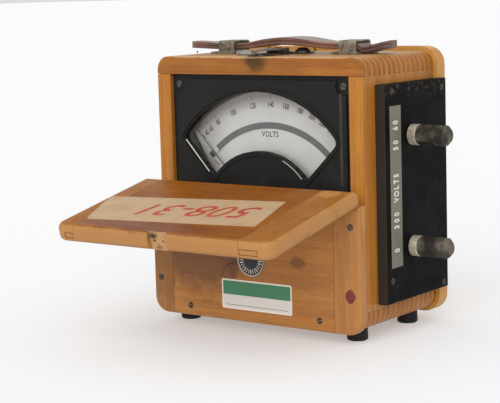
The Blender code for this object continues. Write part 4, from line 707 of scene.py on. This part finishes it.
def onTop(x, y):
    return surfaceFrame(place(x, y, caseHeight), (1, 0, 0), (0, 1, 0))


# On the lid's inner face: x across, down from the hinge edge
def onLid(x, down):
    return surfaceFrame(lidTop(x, lid["low"] + down), (1, 0, 0), -lidAlong)


# On the lid's free edge: x across, deep below the inner face
def onLidEdge(x, deep):
    return surfaceFrame(lidEdge(x, deep), (1, 0, 0), lidOut)


def addBlock(bm, matrix, width, height, depth, lift=0.0):
    bmesh.ops.create_cube(bm, size=1, matrix=matrix @ Matrix.Translation((0, 0, (lift + depth / 2) * mm))
                          @ Matrix.Diagonal((width * mm, height * mm, depth * mm, 1)))


def addDisc(bm, matrix, radius, depth, segments, lift=0.0):
    bmesh.ops.create_cone(bm, cap_ends=True, segments=segments, radius1=radius * mm, radius2=radius * mm,
                          depth=depth * mm, matrix=matrix @ Matrix.Translation((0, 0, (lift + depth / 2) * mm)))


def bevelEdges(bm, edges, offset, segments=2):
    bmesh.ops.bevel(bm, geom=edges, offset=offset, offset_type="OFFSET", segments=segments, profile=0.5,
                    affect="EDGES", material=-1)


# A piece on the case that is one plain block
def blockPiece(name, finish, matrix, width, height, depth, lift=0.0):
    bm = bmesh.new()
    addBlock(bm, matrix, width, height, depth, lift)
    newPiece(name, bm, finish)


def addMesh(bm, drawn):
    carry = bpy.data.meshes.new("carry")
    drawn.to_mesh(carry)
    drawn.free()
    bm.from_mesh(carry)
    bpy.data.meshes.remove(carry)


# Adds a small bmesh that was drawn in mm to the piece, at its place
def addDrawn(bm, drawn, matrix):
    bmesh.ops.transform(drawn, matrix=matrix @ Matrix.Diagonal((mm, mm, mm, 1)), verts=drawn.verts)
    addMesh(bm, drawn)


screw = {"depth": 1.2, "slotDepth": 0.7}


def cutFlat(bm, spot, normal):
    bmesh.ops.bisect_plane(bm, geom=bm.verts[:] + bm.edges[:] + bm.faces[:], plane_co=spot, plane_no=normal)


# A slotted screw head whose top stands lift above the surface
def addScrew(bm, matrix, radius, lift, slot, turn, dome):
    head = bmesh.new()
    bmesh.ops.create_cone(head, cap_ends=True, segments=28, radius1=radius, radius2=radius, depth=screw["depth"])
    bmesh.ops.translate(head, verts=head.verts, vec=(0, 0, lift - screw["depth"] / 2))
    bevelEdges(head, [edge for edge in head.edges if all(vert.co.z > lift - 0.1 for vert in edge.verts)], dome)
    for side in (-1, 1):
        cutFlat(head, (side * slot / 2, 0, 0), (1, 0, 0))
    head.normal_update()
    cut = [face for face in head.faces
           if face.normal.z > 0.3 and abs(face.calc_center_median().x) < slot / 2]
    grown = bmesh.ops.extrude_face_region(head, geom=cut)
    moved = [item for item in grown["geom"] if isinstance(item, bmesh.types.BMVert)]
    bmesh.ops.translate(head, verts=moved, vec=(0, 0, -screw["slotDepth"]))
    bmesh.ops.delete(head, geom=[face for face in cut if face.is_valid], context="FACES")
    addDrawn(bm, head, spun(matrix, turn))


# Numbers or a unit as thin solids on a surface frame
def addText(bm, matrix, text, size, depth=0.05, lift=0.0, narrow=1.0, bold=0.0, slant=0.0, spacing=1.0):
    curve = bpy.data.curves.new("carry", "FONT")
    curve.body = text
    curve.size = size
    curve.align_x = "CENTER"
    curve.offset = bold
    curve.shear = slant
    curve.align_y = "CENTER"
    curve.space_character = spacing
    curve.resolution_u = 3
    curve.extrude = depth / 2
    holder = linkNew("carry", curve)
    flat = bpy.data.meshes.new_from_object(holder.evaluated_get(bpy.context.evaluated_depsgraph_get()))
    flat.transform(matrix @ Matrix.Translation((0, 0, (lift + depth / 2) * mm))
                   @ Matrix.Diagonal((mm * narrow, mm, mm, 1)))
    bm.from_mesh(flat)
    bpy.data.meshes.remove(flat)
    bpy.data.objects.remove(holder)
    bpy.data.curves.remove(curve)


# A line of short bars through points on a surface frame, in mm
def addStroke(bm, matrix, points, width, depth=0.05):
    for first, second in zip(points, points[1:]):
        run = Vector(second) - Vector(first)
        middle = (Vector(first) + Vector(second)) / 2
        spot = matrix @ Matrix.Translation((middle.x * mm, middle.y * mm, 0))
        turned = spun(spot, math.degrees(math.atan2(run.y, run.x)))
        addBlock(bm, turned, run.length + width * 0.6, width, depth)


# Carrying strap: two layers of leather, bowed up between its keepers
strap = {
    "left": -0.4, "length": 178.4, "centreY": 46.7,
    "keepers": (36.8, 145.2), "loop": 14.6,
    "keeperWidth": 16.4, "middleWidth": 25.0, "endWidth": 13.0,
    "thickness": 4.4, "bowThickening": 1.2, "endThickening": 0.7,
    "rest": 3.4, "bowRise": 3.2, "endRise": 0.8,
    "droop": 2.8, "curlRise": 3.8, "dipShare": 0.16, "curlShare": 0.22,
    "seam": 0.015,   # half width of the groove between the layers
    "rimShare": 0.09,   # rounding of each layer, as a share of its thickness
    "roundedEnd": 7.0, "endRounding": 0.55, "cuts": 110,
    "waves": 0.25, "waveScale": (0.09, 0.6),   # height; how close together along and across
}


def smoothStep(value):
    held = min(max(value, 0), 1)
    return held * held * (3 - 2 * held)


def strapSection(x):
    left = strap["keepers"][0] - strap["loop"] / 2
    right = strap["keepers"][1] + strap["loop"] / 2
    innerLeft, innerRight = left + strap["loop"], right - strap["loop"]
    bow = (x - innerLeft) / (innerRight - innerLeft)
    tail = (x - right) / (strap["left"] + strap["length"] - right)
    head = (left - x) / (left - strap["left"])
    rise, half, thickness = 0.0, strap["keeperWidth"] / 2, strap["thickness"]
    narrowing = (strap["keeperWidth"] - strap["endWidth"]) / 2
    if 0 < bow < 1:
        swell = math.sin(math.pi * bow) ** 2
        rise = strap["bowRise"] * swell
        thickness += strap["bowThickening"] * swell
        half += (strap["middleWidth"] - strap["keeperWidth"]) / 2 * smoothStep(min(bow, 1 - bow) * 3)
    if tail > 0:
        curl = max(tail - strap["curlShare"], 0) / (1 - strap["curlShare"])
        rise = strap["curlRise"] * curl - strap["droop"] * smoothStep(tail / strap["dipShare"])
        thickness += strap["endThickening"] * smoothStep(tail * 2)
        half -= narrowing * tail
    if head > 0:
        rise = strap["endRise"] * smoothStep(head)
        thickness += strap["endThickening"] * smoothStep(head * 2)
        half -= narrowing * head
    return rise, half, thickness


def makeStrap():
    bm = bmesh.new()
    along, across = strap["waveScale"]
    for low, side in ((0.0, -1), (0.5, 1)):
        layer = bmesh.new()
        bmesh.ops.create_cube(layer, size=1, matrix=Matrix.Diagonal((strap["length"], 2, 1, 1)))
        rim = [edge for edge in layer.edges if abs(edge.verts[0].co.z - edge.verts[1].co.z) <= 0.1]
        bevelEdges(layer, rim, strap["rimShare"], 3)
        for cut in range(1, strap["cuts"]):
            cutFlat(layer, (strap["length"] * (cut / strap["cuts"] - 0.5), 0, 0), (1, 0, 0))
        for line in (-0.6, -0.2, 0.2, 0.6):
            cutFlat(layer, (0, line, 0), (0, 1, 0))
        for vert in layer.verts:
            x = strap["left"] + strap["length"] / 2 + vert.co.x
            rise, half, thickness = strapSection(x)
            ending = (strap["length"] / 2 - abs(vert.co.x)) / strap["roundedEnd"]
            if ending < 1:
                half *= math.sqrt(max(1 - (1 - ending) ** 2 * strap["endRounding"], 0.1))
            share = low + (vert.co.z + 0.5) / 2
            gap = strap["seam"] * (1 - abs(share - 0.5) * 2) * side
            wave = fields.noise(Vector((x * along, vert.co.y * across, 3.1))) * strap["waves"]
            z = strap["rest"] + rise + thickness * share + gap + wave * share
            vert.co = place(x, strap["centreY"] + vert.co.y * half, caseHeight + z)
        addMesh(bm, layer)
    obj = newPiece("leather_strap", bm, "brownLeather", "handle", sharp=60)
    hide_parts("carrying_strap")


makeStrap()
print("strap sewn")

# The dial's print
dialPrint = {
    "pivot": (91, 66),
    "numbers": {"0": 134.6, "40": 131.7, "60": 128.4, "80": 122.8, "100": 112.5, "120": 100.2,
                "140": 89.7, "160": 81.0, "180": 72.8, "200": 65.5, "220": 59.0, "240": 53.0, "260": 47.5},
    "numberRadius": 88.5,
    "numberSize": 5.8,
    "numberBold": 0.15,
    "numberNarrow": 0.66,
    "tickInner": 93.6,
    "tickOuter": 96.6,
    "tickWidth": 0.35,
    "longTick": 0.9,   # how much further in the ticks at the numbers reach
    "unit": (90.4, 132.9, 5.8),
    "redMark": ((38.6, 111.9), (42.9, 108.6)),
    "mirrorRadius": 73.5, "mirrorWidth": 4.7,
    # the black patch is the pointer's painted reflection in the mirror
    "patches": ((132.5, 3.6, "paleEnd"), (136.2, 4.6, "patchBlack")),   # at the mirror's end: angle, length
    "patchLift": 1.4,
    "card": (91.0, 151.6, 145.0, 36.6, 27.6),   # x, z, width, height, corner radius
    "cardBehind": 1.3,
    "face": 17.45,   # how deep the dial lies
    "ink": 0.05,
}


def onDial(radius, degrees, lift=0.0):
    angle = math.radians(degrees)
    x = dialPrint["pivot"][0] + radius * math.cos(angle)
    z = dialPrint["pivot"][1] + radius * math.sin(angle)
    return spun(onFront(x, z, dialPrint["face"] - lift), degrees - 90)


def makeDialPrint():
    bm = bmesh.new()
    angles = list(dialPrint["numbers"].values())
    for text, degrees in dialPrint["numbers"].items():
        addText(bm, onDial(dialPrint["numberRadius"], degrees), text, dialPrint["numberSize"],
                narrow=dialPrint["numberNarrow"], bold=dialPrint["numberBold"])
    for before, after in zip(angles, angles[1:]):
        for part in range(5):
            degrees = before + (after - before) * part / 5
            inner = dialPrint["tickInner"] - (dialPrint["longTick"] if part == 0 else 0)
            outer = dialPrint["tickOuter"]
            width = dialPrint["tickWidth"] * (1.2 if part == 0 else 0.7)
            addBlock(bm, onDial((inner + outer) / 2, degrees), width, outer - inner, dialPrint["ink"])
    x, z, size = dialPrint["unit"]
    addText(bm, onFront(x, z, dialPrint["face"]), "VOLTS", size, narrow=0.80, spacing=1.12, bold=0.12)
    newPiece("dial_print", bm, "dialInk")
    bm = bmesh.new()
    addStroke(bm, onFront(0, 0, dialPrint["face"] - 0.03), dialPrint["redMark"], 0.7)
    newPiece("dial_red_mark", bm, "dialRed")
    x, z, width, height, corner = dialPrint["card"]
    bm = bmesh.new()
    addBlock(bm, onFront(x, z, dialPrint["face"] + dialPrint["cardBehind"]), width, height, 0.3)
    corners = [edge for edge in bm.edges if abs(edge.verts[0].co.y - edge.verts[1].co.y) > 0.1 * mm
               and min(vert.co.z for vert in edge.verts) > place(0, 0, z).z]
    bevelEdges(bm, corners, corner * mm, 12)
    newPiece("dial_backing_card", bm, "dialWhite")
    # a pale patch and the pointer's painted reflection at the mirror's end
    for index, (degrees, length, finish) in enumerate(dialPrint["patches"]):
        blockPiece("dial_patch_%d" % (index + 1), finish,
                   onDial(dialPrint["mirrorRadius"], degrees, dialPrint["patchLift"]), length,
                   dialPrint["mirrorWidth"], dialPrint["ink"])


makeDialPrint()
print("dial printed")

# Screws and nails
# spots: the head's place on its surface and the turn of its slot
fastenings = {
    "lower_front_screws": {
        "finish": "screwDark", "surface": onFront, "radius": 2.5, "lift": 0.1, "slot": 0.5, "dome": 0.25,
        "spots": ((5.8, 25.1, 15), (33.5, 6.2, 70), (176.3, 74.5, 40), (149.2, 6.5, 110), (5.8, 74.5, 20))},
    "panel_screws": {
        "finish": "panelScrewMetal", "surface": onPanel, "radius": 2.7, "lift": 0.9, "slot": 0.6, "dome": 0.5,
        "spots": ((18.1, 169.7, 35), (163.9, 169.7, 75), (18.1, 20.3, 10), (163.9, 20.3, 50))},
    "terminal_panel_screws": {
        "finish": "screwDark", "surface": onSide, "radius": 2.5, "lift": 0.1, "slot": 0.5, "dome": 0.25,
        "spots": ((23.0, 165.2, 20), (91.3, 163.9, 60), (91.6, 20.8, 100), (21.0, 33.0, 45))},
}
for name, row in fastenings.items():
    bm = bmesh.new()
    for across, up, turn in row["spots"]:
        addScrew(bm, row["surface"](across, up), row["radius"], row["lift"], row["slot"], turn, row["dome"])
    newPiece(name, bm, row["finish"])
print("screws in")

# Embossed strip on the terminal panel
tape = {
    "y": (19.7, 34.2), "z": (42.0, 155.3), "thickness": 0.35, "round": 0.14,
    "marks": ((0.106, "0"), (0.252, "3"), (0.292, "0"), (0.331, "0"), (0.42, "V"), (0.458, "O"), (0.496, "L"),
              (0.534, "T"), (0.570, "S"), (0.738, "5"), (0.775, "0"), (0.860, "6"), (0.897, "0")),
    "markSize": 8.6, "raise": 0.25, "bold": 0.28,
}


def makeTape():
    bm = bmesh.new()
    y0, y1 = tape["y"]
    z0, z1 = tape["z"]
    addBlock(bm, onSide((y0 + y1) / 2, (z0 + z1) / 2), y1 - y0, z1 - z0, tape["thickness"])
    bevelEdges(bm, bm.edges[:], tape["round"] * mm)
    newPiece("embossed_tape", bm, "tapeOlive")
    bm = bmesh.new()
    for share, text in tape["marks"]:
        spot = spun(onSide((y0 + y1) / 2, z0 + (z1 - z0) * share), 90)
        addText(bm, spot, text, tape["markSize"], depth=tape["raise"], lift=tape["thickness"] - 0.02, narrow=0.60,
                bold=tape["bold"])
    newPiece("tape_numbers", bm, "tapePale")


makeTape()

# Round badge, label, wax dot and crack on the lower front
badge = {
    "x": 90.5, "z": 44.5, "radius": 11.7, "rim": 0.75, "rimRise": 0.08, "thickness": 0.5, "round": 0.15,
    "marks": 28, "markRadius": 8.2, "markLength": 3.2, "markWidths": (0.9, 0.55, 0.55), "paint": 0.05,
}


def makeBadge():
    bm = bmesh.new()
    spot = onFront(badge["x"], badge["z"])
    addDisc(bm, spot, badge["radius"], badge["thickness"], 64)
    rim = [edge for edge in bm.edges if max(len(face.verts) for face in edge.link_faces) > 8]   # round both faces
    bevelEdges(bm, rim, badge["round"] * mm)
    newPiece("round_badge", bm, "badgeBlack")
    bm = bmesh.new()
    drawn = bmesh.new()
    bmesh.ops.create_circle(drawn, cap_ends=True, segments=64, radius=badge["radius"] - badge["round"])
    bmesh.ops.inset_region(drawn, faces=drawn.faces[:], thickness=badge["rim"], use_boundary=True)
    middle = max(drawn.faces, key=lambda face: len(face.verts))
    bmesh.ops.delete(drawn, geom=[middle], context="FACES")
    bmesh.ops.solidify(drawn, geom=drawn.faces[:], thickness=badge["rimRise"])
    addDrawn(bm, drawn, spot @ Matrix.Translation((0, 0, (badge["thickness"] + badge["rimRise"]) * mm)))
    for index in range(badge["marks"]):
        turned = spun(spot, 360 * index / badge["marks"])
        addBlock(bm, turned @ Matrix.Translation((badge["markRadius"] * mm, 0, 0)), badge["markLength"],
                 badge["markWidths"][index % 3], badge["paint"], badge["thickness"])
    newPiece("badge_marks", bm, "badgeWhite")


makeBadge()

label = {
    "x": (63.5, 125.9), "z": (7.55, 29.3), "border": 1.1, "corner": 1.2, "greenShare": 0.52, "lineHeight": 1.9,
    "lineWidth": 0.35, "lineMargin": 2.5, "thickness": 0.12, "print": 0.03,
}


def makeLabel():
    (x0, x1), (z0, z1), border = label["x"], label["z"], label["border"]
    middleX, thick = (x0 + x1) / 2, label["thickness"]
    bm = bmesh.new()
    addBlock(bm, onFront(middleX, (z0 + z1) / 2), x1 - x0, z1 - z0, thick)
    bevelEdges(bm, [edge for edge in bm.edges if edge.calc_length() < 0.2 * mm], label["corner"] * mm, 4)
    newPiece("label_paper", bm, "labelCream")
    low, high, width = z0 + border, z1 - border, x1 - x0 - 2 * border
    split = low + (high - low) * (1 - label["greenShare"])
    for name, finish, bottom, top in (("label_green", "labelGreen", split, high),
                                      ("label_grey", "labelGrey", low, split)):
        blockPiece(name, finish, onFront(middleX, (bottom + top) / 2), width, top - bottom,
                   label["print"], thick)
    blockPiece("label_line", "labelLine", onFront(middleX, low + label["lineHeight"]),
               width - 2 * label["lineMargin"], label["lineWidth"], label["print"], thick + label["print"])


makeLabel()

wax = {"x": 175.5, "z": 26.0, "radius": 4.0, "tall": 4.8, "height": 0.6, "ragged": 0.5, "lumps": 330}


def makeWaxDot():
    bm = bmesh.new()
    bmesh.ops.create_uvsphere(bm, u_segments=32, v_segments=16, radius=1,
                              matrix=onFront(wax["x"], wax["z"])
                              @ Matrix.Diagonal((wax["radius"] * mm, wax["tall"] * mm, wax["height"] * mm, 1)))
    for vert in bm.verts:
        spot = vert.co * wax["lumps"]
        push = Vector((fields.noise(spot), 0, fields.noise(spot + Vector((5, 5, 5)))))
        vert.co += push * wax["ragged"] * mm
    newPiece("wax_dot", bm, "waxRed")


makeWaxDot()
print("badge, label and wax on")

# Paper strip and crayon number inside the lid
paper = {
    "corners": ((-0.5, 43.7), (146.6, 29.6), (154.7, 77.6), (15.1, 88.8)),   # x, down the lid
    "thickness": 0.12, "ragged": 1.6, "fray": 8, "gap": 0.02,
    "wax": 0.05,   # thickness of the crayon's line
    "crayon": (94.0, 57.5, 6.0, "508-31", 30.0),   # x, down, turn, numerals, size
}


def makePaper():
    bm = bmesh.new()
    bmesh.ops.create_grid(bm, x_segments=60, y_segments=24, size=0.5)
    first, second, third, fourth = (Vector(corner) for corner in paper["corners"])
    for vert in bm.verts:
        s, t = vert.co.x + 0.5, vert.co.y + 0.5
        ragged = fields.noise(Vector((t * 9, 1.7, 0))) + 0.5 * fields.noise(Vector((t * 31, 5.7, 0)))
        torn = (1 - s) ** paper["fray"]   # only the left end is torn
        edge = paper["ragged"] * ragged * torn
        top = first.lerp(second, s)
        low = fourth.lerp(third, s)
        spot = low.lerp(top, t) + Vector((max(edge, -0.2) + 0.6 * torn, 0))
        vert.co = (spot.x, spot.y, 0)
    corner = onLid(0, 0)
    bmesh.ops.solidify(bm, geom=bm.faces[:], thickness=paper["thickness"])
    for vert in bm.verts:
        vert.co = corner @ (Vector((vert.co.x, -vert.co.y, vert.co.z + paper["thickness"] + paper["gap"])) * mm)
    newPiece("paper_strip", bm, "paperTan", "lid")
    x, down, turn, numerals, size = paper["crayon"]
    bm = bmesh.new()
    addText(bm, spun(onLid(x, down), 180 + turn), numerals, size,
            depth=paper["wax"], lift=2 * paper["thickness"], narrow=1.12, slant=0.35)
    newPiece("crayon_number", bm, "crayonRed", "lid")


makePaper()
print("paper strip in the lid")

# Painted glints round the dial window, strip on the panel, crack and tongue ends
trim = {
    "leftLip": ((24.6, 128.3), (45.3, 105.7)),
    "lipWidth": 0.95,
    "lipFace": 1.15,   # how deep the lip's front lies
    "innerLip": (90.0, 70.2, 51.0, 64.0, 41.5),   # x, z, radius, from, to (degrees)
    "strip": (161.9, 132.6, 2.3, 64.0),   # x, z, width, height
    "crack": ((78.0, 42.6), (74.5, 41.6), (70.0, 40.2), (66.6, 38.0), (65.6, 35.0), (64.2, 32.4),
              (62.4, 29.8)),
    "crackWidth": 0.45,
    "nails": ((86.9, 81.3, 0.6, 3.4), (3.0, 44.0, 0.35, 1.3)),   # x, y, radius, height
    "nailHead": (1.9, 0.5),   # share of the radius, thickness
}


def makeTrim():
    bm = bmesh.new()
    # painted glints along the window lip's edges
    addStroke(bm, onFront(0, 0, trim["lipFace"]), trim["leftLip"], trim["lipWidth"])
    x, z, radius, first, last = trim["innerLip"]
    steps = 14
    points = []
    for index in range(steps + 1):
        angle = math.radians(first + (last - first) * index / steps)
        points.append((x + radius * math.cos(angle), z + radius * math.sin(angle)))
    addStroke(bm, onFront(0, 0, trim["lipFace"]), points, trim["lipWidth"] * 0.8)
    newPiece("window_lip_glint", bm, "lipPale")
    x, z, width, height = trim["strip"]
    blockPiece("panel_side_strip", "edgeGrey", onFront(x, z, 2.0), width, height, 0.06)
    bm = bmesh.new()
    addStroke(bm, onFront(0, 0), trim["crack"], trim["crackWidth"], 0.04)
    newPiece("board_crack", bm, "crackBrown")
    bm = bmesh.new()
    share, thickness = trim["nailHead"]
    for x, y, radius, height in trim["nails"]:
        addDisc(bm, onTop(x, y), radius, height, 16)
        addDisc(bm, onTop(x, y), radius * share, thickness, 16, height - 0.1)
    newPiece("top_nails", bm, "screwDark")


makeTrim()

tongueEnds = {
    "spots": ((11.4, 7.0), (166.6, 14.2)),   # x, width
    "deep": 7.4, "height": 3.3, "length": 3.0, "sunk": 0.12,
}


def makeTongueEnds():
    bm = bmesh.new()
    for x, width in tongueEnds["spots"]:
        addBlock(bm, onLidEdge(x, tongueEnds["deep"]), width, tongueEnds["height"], tongueEnds["length"],
                 -tongueEnds["length"] - tongueEnds["sunk"])
    newPiece("lid_tongue_ends", bm, "lidBoard", "lid")


makeTongueEnds()
print("trim and joints finished")
